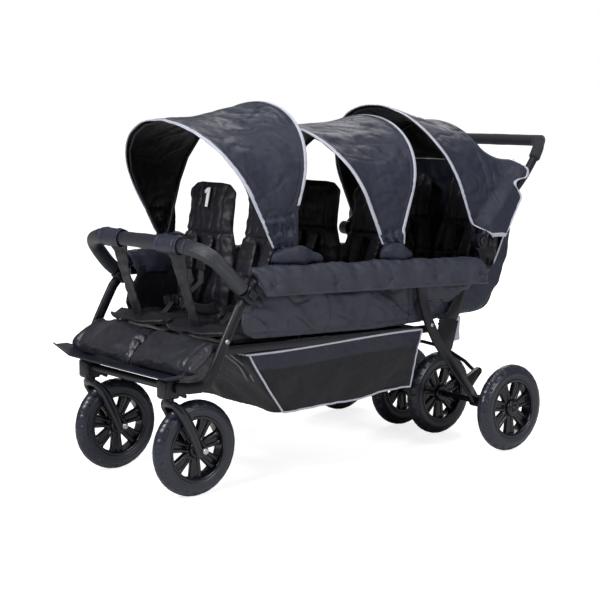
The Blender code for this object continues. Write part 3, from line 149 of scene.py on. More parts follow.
class Graph:
    """Adds and links nodes in one tree."""

    def __init__(self, tree: bpy.types.NodeTree, prefix: str = "") -> None:
        """Take the tree, and what stands before the short names of its nodes' types."""
        self.tree = tree
        self.prefix = prefix

    def feed(self, socket: Socket, value: object) -> None:
        """Link a node or an output into a socket, or write a plain value there.

        Args:
            socket: The input to fill.
            value: A node, an output, a number or a tuple.
        """
        if isinstance(value, bpy.types.Node):
            value = value.outputs[0]
        if isinstance(value, Socket):
            self.tree.links.new(value, socket)
        else:
            socket.default_value = value

    def add(self, kind: str, inputs: dict | None = None, **settings: object) -> bpy.types.Node:
        """Add one node.

        Args:
            kind: The node's type without the graph's prefix.
            inputs: Values, nodes or outputs by input name or number.
            **settings: Attributes of the node.

        Returns:
            The new node.
        """
        node = self.tree.nodes.new(self.prefix + kind)
        for key, value in settings.items():
            setattr(node, key, value)
        for key, value in (inputs or {}).items():
            self.feed(node.inputs[key], value)
        return node

    def math(self, operation: str, first: object, second: object) -> Socket:
        """One Math node's result.

        Args:
            operation: What the node does.
            first: Its first input.
            second: Its second input.

        Returns:
            The result.
        """
        node = self.tree.nodes.new("ShaderNodeMath")
        node.operation = operation
        self.feed(node.inputs[0], first)
        self.feed(node.inputs[1], second)
        return node.outputs[0]


class NodeGraph(Graph):
    """The shader nodes of one material."""

    def __init__(self, name: str) -> None:
        """Start a material of that name with its Principled shader.

        Args:
            name: The new material's name.
        """
        self.material = bpy.data.materials.new(name)
        self.material.use_nodes = True
        super().__init__(self.material.node_tree, "ShaderNode")
        self.shader = self.tree.nodes["Principled BSDF"]

    def place(self, mapped: bool) -> Socket:
        """Coordinates in metres: the piece's own cloth map, or its object space.

        Args:
            mapped: Whether the cloth map is read.

        Returns:
            The coordinates.
        """
        if mapped:
            return self.add("UVMap", uv_map="cloth").outputs["UV"]
        return self.add("TexCoord").outputs["Object"]

    def noise(self, where: object, scale: float, detail: float = 2.0, roughness: float = 0.5) -> Socket:
        """A noise value from 0 to 1.

        Args:
            where: Coordinates to read.
            scale: Features per metre.
            detail: Octaves.
            roughness: Strength of the finer octaves.

        Returns:
            The noise socket.
        """
        return self.add("TexNoise", {"Vector": where, "Scale": scale, "Detail": detail,
                                     "Roughness": roughness}).outputs["Fac"]

    def span(self, value: object, low: float, high: float) -> Socket:
        """A 0 to 1 value stretched from low to high."""
        return self.add("MapRange", {"Value": value, "To Min": low, "To Max": high}).outputs[0]

    def blend(self, factor: object, first: Colour, second: Colour) -> Socket:
        """A mix of two colours by a factor.

        Args:
            factor: 0 gives the first colour and 1 the second.
            first: A linear colour or a colour socket.
            second: A linear colour or a colour socket.

        Returns:
            The mixed colour's socket.
        """
        node = self.add("Mix", {0: factor}, data_type="RGBA")
        for index, colour in ((6, first), (7, second)):
            plain = isinstance(colour, tuple)
            self.feed(node.inputs[index], (*colour, 1.0) if plain else colour)
        return node.outputs[2]

    def bump(self, height: object, distance: float, below: object | None = None) -> Socket:
        """Surface relief from a height.

        Args:
            height: Height from 0 to 1.
            distance: Height of 1 in metres.
            below: Relief that this one lies on.

        Returns:
            The bumped normal.
        """
        node = self.add("Bump", {"Height": height, "Distance": distance, "Strength": 1.0})
        if below is not None:
            self.feed(node.inputs["Normal"], below)
        return node.outputs[0]

    def finish(self, colour: object, roughness: object, normal: object | None = None,
               **plain: float) -> Material:
        """Fill the Principled shader and return the material.

        Args:
            colour: Base colour, plain or linked.
            roughness: Roughness, plain or linked.
            normal: Bumped normal.
            **plain: Other shader numbers by socket name, with underscores for spaces.

        Returns:
            The finished material.
        """
        self.feed(self.shader.inputs["Base Color"], (*colour, 1.0) if isinstance(colour, tuple) else colour)
        self.feed(self.shader.inputs["Roughness"], roughness)
        if normal is not None:
            self.feed(self.shader.inputs["Normal"], normal)
        for key, value in plain.items():
            self.shader.inputs[key.replace("_", " ")].default_value = value
        return self.material


@dataclass(frozen=True)
class Finish:
    """A finish that makes its material once and shares it among pieces."""

    name: str
    colour: Colour
    slot: str = ""

    def material(self) -> Material:
        """The finish's material, made on first use."""
        return bpy.data.materials.get(self.name) or self.make(NodeGraph(self.name))

    def make(self, graph: NodeGraph) -> Material:
        """Build the material's nodes.

        Args:
            graph: An empty material.

        Returns:
            The finished material.
        """
        raise NotImplementedError

    def shade(self, scale: float, lift: float = 0.0) -> Colour:
        """The finish's colour made darker or paler."""
        return tuple(min(1.0, value * scale + lift) for value in self.colour)


@dataclass(frozen=True)
class WovenCloth(Finish):
    """Coated woven polyester with soft creases, mottling and a fine plain weave, with painted shade in the
    hollows between its threads.
    """

    pitch: float = 0.0011
    crease: float = 0.0028
    mottle: float = 0.10
    roughness: float = 0.45
    sheen: float = 0.04
    gloss: float = 0.34
    mapped: bool = True

    def make(self, graph: NodeGraph) -> Material:
        """Build the weave, creases, mottled colour and the painted shade between the threads.

        Args:
            graph: An empty material.

        Returns:
            The finished material.
        """
        where = graph.place(self.mapped)
        space = graph.place(False)
        height = None
        for direction in ("X", "Y"):
            wave = graph.add("TexWave", {"Vector": where, "Scale": 0.314 / self.pitch, "Distortion": 0.4,
                                         "Detail Scale": 2.0}, bands_direction=direction).outputs["Fac"]
            height = wave if height is None else graph.math("MAXIMUM", height, wave)
        soft = graph.noise(space, 11.0, 2.0, 0.5)
        fine = graph.noise(space, 95.0, 2.0, 0.6)
        normal = graph.bump(soft, self.crease * 9.0)
        normal = graph.bump(fine, self.crease * 0.16, normal)
        normal = graph.bump(height, 0.00016, normal)
        patch = graph.noise(space, 6.5, 3.0, 0.5)
        colour = graph.blend(patch, self.shade(1.0 - self.mottle), self.shade(1.0 + self.mottle))
        # painted shade: darker in the hollows between the weave's threads
        colour = graph.blend(graph.span(height, 0.22, 0.0), colour, self.shade(0.72))
        roughness = graph.span(fine, self.roughness - 0.08, self.roughness + 0.08)
        return graph.finish(colour, roughness, normal, Sheen_Weight=self.sheen, Sheen_Roughness=0.45,
                            Specular_IOR_Level=self.gloss)


@dataclass(frozen=True)
class MeshCloth(Finish):
    """Open knitted mesh, with the shade of the basket's inside painted between its threads."""

    pitch: float = 0.0032

    def make(self, graph: NodeGraph) -> Material:
        """Build the net of threads and the painted shade of the basket's inside, in streaks, between them.

        Args:
            graph: An empty material.

        Returns:
            The finished material.
        """
        where = graph.place(True)
        space = graph.place(False)
        cells = graph.add("TexVoronoi", {"Vector": where, "Scale": 1.0 / self.pitch, "Randomness": 0.12},
                          feature="DISTANCE_TO_EDGE").outputs["Distance"]
        threads = graph.add("MapRange", {"Value": cells, "From Min": 0.06, "From Max": 0.20, "To Min": 1.0,
                                         "To Max": 0.0}).outputs[0]
        stretched = graph.add("Mapping", {"Vector": space, "Scale": (1.0, 1.0, 0.22)})
        shade_streak = graph.noise(stretched, 38.0, 3.0, 0.55)
        # painted shade: the basket's dark inside, in streaks, between the threads
        behind = graph.blend(shade_streak, self.shade(0.45), self.shade(1.3))
        colour = graph.blend(threads, behind, self.shade(1.9))
        normal = graph.bump(threads, 0.0005)
        normal = graph.bump(graph.noise(space, 14.0, 2.0), 0.006, normal)
        return graph.finish(colour, 0.72, normal, Specular_IOR_Level=0.25, Sheen_Weight=0.15)


@dataclass(frozen=True)
class Grained(Finish):
    """A coat, plastic, rubber, foam, tape or metal: a fine grain, and patches of colour and roughness.

    Each noise is (features per metre, octaves, strength of the finer octaves). Without a noise for its
    grain, the surface has round pits.
    """

    rough: tuple[float, float] = (0.40, 0.54)
    tints: tuple[float, float] = (0.82, 1.22)
    wear: float = 0.0
    patch: Noise = (30.0, 3.0, 0.55)
    patch_share: float = 1.0
    grain: Noise | None = None
    pits: float = 620.0
    depth: float = 0.00014
    waves: Noise | None = None
    wave_height: float = 0.0
    stretch: Point | None = None
    specular: float = 0.30
    metallic: float = 0.0
    sheen: float = 0.0
    coat: float = 0.0

    def make(self, graph: NodeGraph) -> Material:
        """Build the grain on its waves, and the patches.

        Args:
            graph: An empty material.

        Returns:
            The finished material.
        """
        space = graph.place(False)
        if self.stretch:
            space = graph.add("Mapping", {"Vector": space, "Scale": self.stretch}).outputs[0]
        patch = graph.noise(space, *self.patch)
        if self.grain:
            grain = graph.noise(space, *self.grain)
        else:
            grain = graph.add("TexVoronoi", {"Vector": space, "Scale": self.pits}).outputs["Distance"]
        normal = graph.bump(graph.noise(space, *self.waves), self.wave_height) if self.waves else None
        normal = graph.bump(grain, self.depth, normal)
        share = graph.span(patch, 0.0, self.patch_share) if self.patch_share < 1.0 else patch
        colour = graph.blend(share, self.shade(self.tints[0], 0.06 * self.wear),
                             self.shade(self.tints[1], 0.10 * self.wear))
        return graph.finish(colour, graph.span(patch, *self.rough), normal, Metallic=self.metallic,
                            Specular_IOR_Level=self.specular, Sheen_Weight=self.sheen,
                            Coat_Weight=self.coat, Coat_Roughness=0.10)


@dataclass(frozen=True)
class Webbing(Finish):
    """Tight ribbed webbing of harness belts and straps, with painted shade in the ribs' grooves and a painted
    highlight on their crests.
    """

    pitch: float = 0.0022

    def make(self, graph: NodeGraph) -> Material:
        """Build the diagonal ribs, with painted shade in their grooves and a painted highlight on their
        crests, and the thread grain.

        Args:
            graph: An empty material.

        Returns:
            The finished material.
        """
        where = graph.place(True)
        ribs = graph.add("TexWave", {"Vector": where, "Scale": 0.314 / self.pitch, "Distortion": 0.3},
                         bands_direction="DIAGONAL").outputs["Fac"]
        fuzz = graph.noise(graph.place(False), 260.0, 2.0, 0.6)
        normal = graph.bump(ribs, 0.0003)
        normal = graph.bump(fuzz, 0.0003, normal)
        # painted shade in the ribs' grooves and painted highlight on their crests
        colour = graph.blend(ribs, self.shade(0.65), self.shade(1.25))
        return graph.finish(colour, graph.span(fuzz, 0.62, 0.82), normal, Sheen_Weight=0.2)


COATED = {"tints": (1.0, 1.6), "patch": (42.0, 4.0, 0.62), "patch_share": 0.8, "grain": (900.0, 2.0, 0.5),
          "depth": 0.00008}
POLISHED = {"tints": (1.0, 1.9), "patch": (22.0, 3.0, 0.5), "patch_share": 0.55, "grain": (130.0, 4.0, 0.6),
            "depth": 0.00006, "specular": 0.35, "coat": 0.15}
PLATED = {"tints": (0.8, 1.0), "patch": (320.0, 3.0, 0.6), "grain": (320.0, 3.0, 0.6), "depth": 0.00006,
          "stretch": (1.0, 6.0, 1.0), "specular": 0.5, "metallic": 1.0}

OUTER_CLOTH = WovenCloth("outer_cloth_anthracite", srgb(27, 31, 49), "outer_cloth")
LINING = WovenCloth("canopy_lining_black", srgb(22, 19, 21), "outer_cloth", crease=0.0024, gloss=0.16)
LEG_CLOTH = WovenCloth("leg_cloth_black", srgb(27, 28, 38), "seat_cloth", pitch=0.0013, crease=0.0022,
                       gloss=0.50, roughness=0.44)
SEAT_CLOTH = WovenCloth("seat_cloth_black", srgb(17, 17, 26), "seat_cloth", pitch=0.0013, mapped=False,
                        crease=0.0014, gloss=0.40, roughness=0.47)
COVER_CLOTH = WovenCloth("cover_cloth_anthracite", srgb(27, 31, 49), "outer_cloth", crease=0.0016,
                         gloss=0.55, roughness=0.46)
BASKET_CLOTH = WovenCloth("basket_cloth_black", srgb(16, 16, 25), "outer_cloth", crease=0.0014)
BASKET_BAND = WovenCloth("basket_band_anthracite", srgb(27, 30, 44), "outer_cloth", crease=0.0022)
# the mesh's material paints the shade of the basket's inside between its threads
BASKET_MESH = MeshCloth("basket_mesh_black", srgb(6, 7, 12), "outer_cloth")
FRAME_COAT = Grained("frame_coat_black", srgb(11, 12, 19), "frame_black", (0.24, 0.44), **COATED)
WORN_COAT = Grained("frame_coat_worn_edge", srgb(34, 36, 42), "frame_black", (0.28, 0.48), wear=0.08,
                    **COATED)
GLOSS_COAT = Grained("fork_coat_black", srgb(13, 14, 22), "frame_black", (0.16, 0.32), **POLISHED)
BLACK_PLASTIC = Grained("moulded_plastic_black", srgb(14, 15, 23), "black_plastic")
WORN_PLASTIC = Grained("moulded_plastic_worn_edge", srgb(38, 40, 48), "black_plastic", (0.34, 0.48))
RIM_PLASTIC = Grained("rim_plastic_black", srgb(11, 12, 19), "rim_black", (0.12, 0.28), **POLISHED)
TYRE_RUBBER = Grained("tyre_rubber_grey", srgb(24, 27, 41), "tyre_rubber", (0.27, 0.42), (0.78, 1.30),
                      patch=(26.0, 4.0, 0.62), grain=(700.0, 2.0, 0.6), depth=0.00012,
                      waves=(60.0, 2.0, 0.5), wave_height=0.0006, specular=0.5)
GRIP_FOAM = Grained("grip_foam_black", srgb(18, 20, 29), "grip_foam", (0.66, 0.86), (0.85, 1.20),
                    patch=(24.0, 3.0, 0.6), pits=480.0, depth=0.00035, waves=(34.0, 2.0, 0.5),
                    wave_height=0.0016, specular=0.5, sheen=0.1)
SLEEVE_TEXTILE = WovenCloth("sleeve_textile_grey", srgb(24, 27, 38), "outer_cloth", pitch=0.0016,
                            crease=0.0003, roughness=0.36, gloss=0.60)
TAPE = Grained("reflective_tape_grey", srgb(176, 178, 192), "outer_cloth", (0.42, 0.60), (0.84, 1.12),
               patch=(40.0, 3.0, 0.6), pits=900.0, depth=0.00012, waves=(40.0, 3.0, 0.6),
               wave_height=0.0012, specular=0.5, metallic=0.15, sheen=0.2)
THREAD = Webbing("sewing_thread_grey", srgb(44, 46, 58), "outer_cloth", pitch=0.0009)
BELT = Webbing("belt_webbing_black", srgb(26, 26, 31), "seat_cloth")
GREY_STRAP = Webbing("strap_webbing_grey", srgb(96, 96, 106), "outer_cloth")
SEAT_THREAD = Webbing("seat_thread_black", srgb(36, 36, 42), "seat_cloth", pitch=0.0009)
PRINT_WHITE = Grained("seat_print_white", srgb(232, 232, 236), "seat_cloth", (0.54, 0.68))
FOOT_PLASTIC = Grained("footplate_plastic", srgb(29, 31, 43), "black_plastic", (0.34, 0.48), depth=0.00018)
STEEL = Grained("zinc_plated_steel", srgb(196, 198, 202), "frame_black", (0.22, 0.40), **PLATED)
SNAP_METAL = Grained("snap_metal_dark", srgb(72, 72, 78), "frame_black", (0.28, 0.46), **PLATED)


# Mesh tools

def smooth_step(value: Array, low: float, high: float) -> Array:
    """0 below low, 1 above high and a soft step between them."""
    share = np.clip((value - low) / (high - low), 0.0, 1.0)
    return share * share * (3.0 - 2.0 * share)


def ridge(value: Array, centre: float, width: float) -> Array:
    """A rounded ridge of height 1 at centre."""
    return np.exp(-((value - centre) / width) ** 2)


def ripple(points: Array, scale: float, seed: int, stretch: Point = (1.0, 1.0, 1.0)) -> Array:
    """A smooth uneven field from -1 to 1 that gives folds and puckers.

    Args:
        points: Places to read it, as an array that ends in three columns.
        scale: Waves per metre.
        seed: Picks one field among many.
        stretch: How fast the field runs along each axis.

    Returns:
        One value for each place.
    """
    rng = np.random.default_rng(seed)
    total = np.zeros(points.shape[:-1])
    for octave in range(7):
        direction = rng.normal(size=3) * np.array(stretch)
        direction *= 2 * PI * scale * rng.uniform(0.5, 1.9) / np.linalg.norm(direction)
        shift = points + 0.02 * np.sin(points[..., ::-1] * 9.0 + octave)
        total += np.sin(shift @ direction + rng.uniform(0.0, 2 * PI)) / 3.2
    return np.clip(total, -1.0, 1.0)


def even_path(points: Iterable[Sequence[float]], count: int, round_off: bool = True) -> Array:
    """Evenly spaced points on a smooth curve through the given ones.

    Args:
        points: The points that the curve follows.
        count: How many points come back.
        round_off: Whether the curve is smooth between them.

    Returns:
        An array of count points.
    """
    base = np.array([tuple(point) for point in points], float)
    if round_off and len(base) > 2:
        padded = np.vstack([2 * base[0] - base[1], base, 2 * base[-1] - base[-2]])
        dense = []
        for before, start, end, after in zip(padded, padded[1:], padded[2:], padded[3:]):
            for share in np.linspace(0.0, 1.0, 12, endpoint=False):
                square, cube = share * share, share ** 3
                dense.append(0.5 * (2 * start + (end - before) * share
                                    + (2 * before - 5 * start + 4 * end - after) * square
                                    + (3 * start - before - 3 * end + after) * cube))
        dense.append(base[-1])
        base = np.array(dense)
    steps = np.concatenate([[0.0], np.cumsum(np.linalg.norm(np.diff(base, axis=0), axis=1))])
    places = np.linspace(0.0, steps[-1], count)
    return np.column_stack([np.interp(places, steps, base[:, axis]) for axis in range(base.shape[1])])


def path_frames(path: Array, hint: Point) -> tuple[Array, Array]:
    """Two cross directions at each point of a path, carried along with least twist.

    Args:
        path: The path's points.
        hint: A direction that the first cross direction starts near.

    Returns:
        The first and second cross directions.
    """
    tangent = unit(np.gradient(path, axis=0))
    across = np.zeros_like(path)
    carried = np.array(hint, float)
    for index, direction in enumerate(tangent):
        carried = carried - direction * (carried @ direction)
        carried /= np.linalg.norm(carried)
        across[index] = carried
    return across, np.cross(tangent, across)


def whole_turn(count: int) -> Array:
    """Even angles once round, without the last one that would meet the first."""
    return np.linspace(0.0, 2 * PI, count, endpoint=False)


def unit(vectors: Array) -> Array:
    """The same directions at length 1."""
    return vectors / np.maximum(np.linalg.norm(vectors, axis=-1, keepdims=True), 1e-9)


def surface_normals(grid: Array) -> Array:
    """Unit normals of a grid of points, on the side that its faces show."""
    return unit(np.cross(np.gradient(grid, axis=1), np.gradient(grid, axis=0)))


def ellipse_section(width: float, height: float, count: int, power: float = 1.0) -> Array:
    """Points round an oval section; a power below 1 squares it off.

    Args:
        width: Full width.
        height: Full height.
        count: Points round it.
        power: 1 for an ellipse, less for squarer ends.

    Returns:
        The points, as (count, 2).
    """
    angle = whole_turn(count)
    cosine, sine = np.cos(angle), np.sin(angle)
    return np.column_stack([np.sign(cosine) * np.abs(cosine) ** power * width / 2,
                            np.sign(sine) * np.abs(sine) ** power * height / 2])


class Draft:
    """Gathers points, faces and a cloth map in metres for one mesh, and makes the mesh with its materials."""

    def __init__(self) -> None:
        """Start with no points."""
        self.points: list[Array] = []
        self.faces: list[tuple[int, ...]] = []
        self.corners: list[tuple[float, float]] = []
        self.count = 0

    def grid(self, rows: Array, wrap: bool = False, flip: bool = False) -> "Draft":
        """Add a skin through rows of points.

        Args:
            rows: An array of rows, columns and coordinates.
            wrap: Whether the last column joins the first.
            flip: Turns the faces round.

        Returns:
            This draft.
        """
        height, width = rows.shape[:2]
        closed = np.concatenate([rows, rows[:, :1]], axis=1) if wrap else rows
        along = np.linalg.norm(np.diff(closed, axis=1), axis=2).mean(axis=0)
        down = np.linalg.norm(np.diff(rows, axis=0), axis=2).mean(axis=1)
        u = np.concatenate([[0.0], np.cumsum(along)])
        v = np.concatenate([[0.0], np.cumsum(down)])
        base = self.count
        self.points.append(rows.reshape(-1, 3))
        self.count += height * width
        for row in range(height - 1):
            for column in range(width if wrap else width - 1):
                after = (column + 1) % width
                face = [base + row * width + column, base + row * width + after,
                        base + (row + 1) * width + after, base + (row + 1) * width + column]
                corner = [(u[column], v[row]), (u[column + 1], v[row]), (u[column + 1], v[row + 1]),
                          (u[column], v[row + 1])]
                if flip:
                    face.reverse()
                    corner.reverse()
                self.faces.append(tuple(face))
                self.corners += corner
        return self

    def cap(self, ring: Array) -> "Draft":
        """Close a ring of points with a fan round its middle.

        Args:
            ring: The ring's points in order.

        Returns:
            This draft.
        """
        base = self.count
        count = len(ring)
        middle = ring.mean(axis=0)
        self.points.append(np.vstack([ring, middle]))
        self.count += count + 1
        for index in range(count):
            after = (index + 1) % count
            self.faces.append((base + index, base + after, base + count))
            self.corners += [tuple((ring[place] - middle)[:2]) for place in (index, after)] + [(0.0, 0.0)]
        return self

    def tube(self, rows: Array) -> "Draft":
        """Add a skin through closed rows, capped at both ends."""
        return self.grid(rows, wrap=True).cap(rows[0]).cap(rows[-1])

    def sweep(self, path: Array, sections: Array, hint: Point = (0.0, 0.0, 1.0)) -> "Draft":
        """Add a closed bar: a section, or one for each point, carried along a path.

        Args:
            path: The bar's middle line.
            sections: Section points, as (count, 2) or (path points, count, 2).
            hint: Direction of the section's second axis at the start.

        Returns:
            This draft.
        """
        second, first = path_frames(path, hint)
        if sections.ndim == 2:
            sections = np.repeat(sections[None], len(path), axis=0)
        return self.tube(path[:, None] + sections[..., :1] * first[:, None]
                         + sections[..., 1:] * second[:, None])

    def turn(self, profile: Sequence[tuple[float, float]], steps: int) -> "Draft":
        """Turn a closed profile of (radius, distance along X) about the X axis.

        Args:
            profile: The profile's points; a ring profile ends where it starts.
            steps: Steps round.

        Returns:
            This draft.
        """
        shape = np.array(profile, float)
        angle = whole_turn(steps)
        rows = np.stack([shape[:, 1:2] + 0.0 * angle, shape[:, :1] * np.cos(angle),
                         shape[:, :1] * np.sin(angle)], axis=2)
        return self.grid(rows, wrap=True)

    def piece(self, name: str, finishes: Sequence[Finish], weld: bool = True, smooth: bool = True,
              sharp_deg: float = 180.0) -> Piece:
        """Make the mesh object.

        Args:
            name: The piece's name.
            finishes: One finish for each material slot.
            weld: Merges points that meet and turns all faces outward.
            smooth: Whether shading is smooth.
            sharp_deg: Edges sharper than this angle stay crisp.

        Returns:
            The linked object, in place, with its object at the origin.
        """
        mesh = bpy.data.meshes.new(name)
        mesh.from_pydata(np.vstack(self.points).tolist(), [], self.faces)
        layer = mesh.uv_layers.new(name="cloth")
        layer.data.foreach_set("uv", np.array(self.corners, np.float32).ravel())
        if weld:
            merge_points(mesh)
        for finish in finishes:
            mesh.materials.append(finish.material())
        if smooth:
            mesh.shade_smooth()
            if sharp_deg < 180.0:
                mesh.set_sharp_from_angle(angle=math.radians(sharp_deg))
        obj = add_object(name, mesh)
        if finishes[0].slot:
            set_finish(obj, finishes[0].slot)
        return obj


def merge_points(mesh: bpy.types.Mesh) -> None:
    """Merge doubled points, drop empty faces and turn the faces outward.

    Args:
        mesh: The mesh.
    """
    bm = bmesh.new()
    bm.from_mesh(mesh)
    bmesh.ops.remove_doubles(bm, verts=bm.verts, dist=MERGE)
    bmesh.ops.dissolve_degenerate(bm, edges=bm.edges, dist=MERGE / 2)
    bmesh.ops.recalc_face_normals(bm, faces=bm.faces)
    bm.to_mesh(mesh)
    bm.free()


def add_object(name: str, data: bpy.types.ID) -> Piece:
    """Put a mesh, lamp or camera into the scene.

    Args:
        name: The new piece's name.
        data: The mesh, lamp or camera.

    Returns:
        The new object.
    """
    obj = bpy.data.objects.new(name, data)
    bpy.context.scene.collection.objects.link(obj)
    return obj


def apply_modifiers(obj: Piece) -> Piece:
    """Bake a piece's modifiers into its mesh.

    Args:
        obj: The piece.

    Returns:
        The same piece.
    """
    graph = bpy.context.evaluated_depsgraph_get()
    obj.data = bpy.data.meshes.new_from_object(obj.evaluated_get(graph))
    obj.modifiers.clear()
    obj.data.name = obj.name
    return obj


def thicken(obj: Piece, thickness: float, inner_slot: int = 0) -> Piece:
    """Give a cloth sheet its thickness, away from its outer face.

    Args:
        obj: The sheet.
        thickness: Cloth thickness.
        inner_slot: Material slot of the inner face.

    Returns:
        The same piece with the thickness in its mesh.
    """
    solid = obj.modifiers.new("thickness", "SOLIDIFY")
    solid.thickness = thickness
    solid.offset = -1.0
    solid.material_offset = inner_slot
    return apply_modifiers(obj)


def binding(name: str, edge: Array, inner: Array, normal: Array) -> Piece:
    """Binding tape folded round an edge of a cloth: wide outside, narrow inside.

    Args:
        name: The tape's name.
        edge: Points of the cloth's outer edge.
        inner: Direction into the cloth at each point.
        normal: The cloth's outward normal at each point.

    Returns:
        The tape.
    """
    inner = unit(inner - normal * (inner * normal).sum(axis=1, keepdims=True))
    width, low = TAPE_WIDTH, -CLOTH
    section = np.array([(width, 0.0001), (width - 0.0002, 0.0009), (width / 2, 0.0012), (0.0004, 0.0010),
                        (-0.0012, 0.0003), (-0.0017, low / 2), (-0.0012, low - 0.0003),
                        (0.0006, low - 0.0009),
                        (0.0028, low - 0.0007), (0.0029, low - 0.0001), (0.0004, low + 0.0001),
                        (0.0001, low / 2), (0.0004, 0.0)])
    pucker = ripple(edge, 45.0, 71) * 0.0004
    height = section[:, 1:] + pucker[:, None, None]
    rows = edge[:, None] + section[:, :1] * inner[:, None] + height * normal[:, None]
    return Draft().tube(rows).piece(name, [TAPE])


def border(grid: Array, parts: Sequence[str]) -> tuple[Array, Array, Array]:
    """Edge points, inward directions and normals along joined edges of a cloth's grid.

    Args:
        grid: The cloth's points.
        parts: Edges in order, each a name such as "first_row" with "-" in front to run it backwards.

    Returns:
        The three arrays.
    """
    normal = surface_normals(grid)
    edges = {"first_row": (grid[0], grid[3] - grid[0], normal[0]),
             "last_row": (grid[-1], grid[-4] - grid[-1], normal[-1]),
             "first_column": (grid[:, 0], grid[:, 3] - grid[:, 0], normal[:, 0]),
             "last_column": (grid[:, -1], grid[:, -4] - grid[:, -1], normal[:, -1])}
    points, inward, outward = [], [], []
    for part in parts:
        step = -1 if part.startswith("-") else 1
        edge, inner, face = edges[part.lstrip("-")]
        trim = slice(1, None) if points else slice(None)
        points.append(edge[::step][trim])
        inward.append(unit(inner)[::step][trim])
        outward.append(face[::step][trim])
    edge, inner, face = np.vstack(points), np.vstack(inward), np.vstack(outward)
    kernel = np.array([0.25, 0.5, 0.25])
    for _ in range(2):
        inner = np.column_stack([np.convolve(np.pad(inner[:, axis], 1, mode="edge"), kernel, "valid")
                                 for axis in range(3)])
    return edge, inner, face


def body_of(node: str) -> str:
    """The CAD body that carries a node."""
    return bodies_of(frame["nodes"][node])[0]


def refined(node: str, finish: Finish, worn: Finish, bevel: float = 0.0009, name: str = "") -> Piece:
    """A rigid CAD node's shape with softened, slightly worn edges, in place of the node.

    Args:
        node: The CAD node.
        finish: Its main finish.
        worn: The finish on its edges.
        bevel: Width of the softened edge.
        name: The new piece's name, or the node's with an ending.

    Returns:
        The new piece, riding on the node's body.
    """
    bm = bmesh.new()
    bm.from_mesh(frame["nodes"][node].data)
    bmesh.ops.remove_doubles(bm, verts=bm.verts, dist=MERGE)
    bmesh.ops.dissolve_limit(bm, angle_limit=math.radians(0.8), verts=bm.verts, edges=bm.edges)
    mesh = bpy.data.meshes.new(name or node + "_finished")
    bm.to_mesh(mesh)
    bm.free()
    obj = add_object(mesh.name, mesh)
    mesh.materials.clear()
    for each in (finish, worn):
        mesh.materials.append(each.material())
    mesh.polygons.foreach_set("material_index", [0] * len(mesh.polygons))
    soften = obj.modifiers.new("edges", "BEVEL")
    soften.width = bevel
    soften.segments = 2
    soften.limit_method = "ANGLE"
    soften.angle_limit = CREASED_EDGE
    soften.material = 1
    soften.use_clamp_overlap = True
    apply_modifiers(obj)
    obj.data.shade_smooth()
    obj.data.set_sharp_from_angle(angle=CREASED_EDGE)
    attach(obj, body_of(node))
    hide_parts(node)
    if finish.slot:
        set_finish(obj, finish.slot)
    return obj


# Studio

@dataclass
class Studio:
    """White floor and background, soft lamps and the photograph's camera."""

    camera_at: Point = (3.290, -2.780, 1.057)
    right: Point = (0.6393, 0.7690, 0.0)
    up: Point = (-0.1054, 0.0876, 0.9907)
    back: Point = (0.7618, -0.6333, 0.1370)
    lens_mm: float = 86.752
    dome: float = 0.14
    mirrored: float = 0.16
    floor_half: float = 40.0

    def build(self) -> None:
        """Make the floor, the world, the lamps and the camera."""
        self.world()
        self.floor()
        self.lamp("key_lamp", (0.9, -3.7, 3.3), 1.3, 180.0)
        self.lamp("top_lamp", (0.8, 0.4, 4.0), 1.7, 46.0)
        self.lamp("side_lamp", (4.2, 0.6, 1.9), 1.1, 60.0)
        self.lamp("rim_lamp", (-2.6, 3.4, 3.6), 2.0, 50.0)
        self.camera()
        scene = bpy.context.scene
        scene.view_settings.view_transform = "Standard"

    def world(self) -> None:
        """A dim dome, white to the camera and through clear pieces, and partly white in reflections."""
        world = bpy.data.worlds.new("studio_world")
        bpy.context.scene.world = world
        world.use_nodes = True
        background = world.node_tree.nodes["Background"]
        background.inputs["Color"].default_value = (1.0, 1.0, 1.0, 1.0)
        graph = Graph(world.node_tree, "ShaderNode")
        rays = graph.add("LightPath").outputs
        seen = graph.math("MAXIMUM", rays["Is Camera Ray"], rays["Is Transmission Ray"])
        mirrored = graph.math("MULTIPLY", rays["Is Glossy Ray"], self.mirrored)
        white = graph.math("MAXIMUM", seen, mirrored)
        strength = graph.add("MapRange", {"Value": white, "To Min": self.dome, "To Max": 1.0})
        graph.feed(background.inputs["Strength"], strength)

    def floor(self) -> None:
        """A wide white floor that keeps the stroller's soft shadow."""
        half = self.floor_half
        rows = np.array([[(-half, -half, 0.0), (half, -half, 0.0)], [(-half, half, 0.0), (half, half, 0.0)]])
        obj = Draft().grid(rows).piece("studio_floor", [FloorPaint("studio_floor_white", (0.86, 0.86, 0.86))],
                                       weld=False, smooth=False)

    def lamp(self, name: str, place: Point, size: float, power: float) -> None:
        """A square soft lamp that points at the stroller's middle.

        Args:
            name: The lamp's name.
            place: Where it hangs.
            size: Its side.
            power: Its power in watts.
        """
        light = bpy.data.lights.new(name, "AREA")
        light.size = size
        light.energy = power
        obj = add_object(name, light)
        obj.location = place
        obj.rotation_mode = "QUATERNION"
        obj.rotation_quaternion = (Vector((0.0, 0.0, 0.5)) - Vector(place)).to_track_quat("-Z", "Y")

    def camera(self) -> None:
        """The photograph's camera."""
        data = bpy.data.cameras.new("photo_camera")
        data.lens = self.lens_mm
        data.sensor_width = 36.0
        data.clip_end = 200.0
        obj = add_object("photo_camera", data)
        axes = Matrix((self.right, self.up, self.back)).transposed()
        obj.matrix_world = Matrix.Translation(self.camera_at) @ axes.to_4x4()
        bpy.context.scene.camera = obj


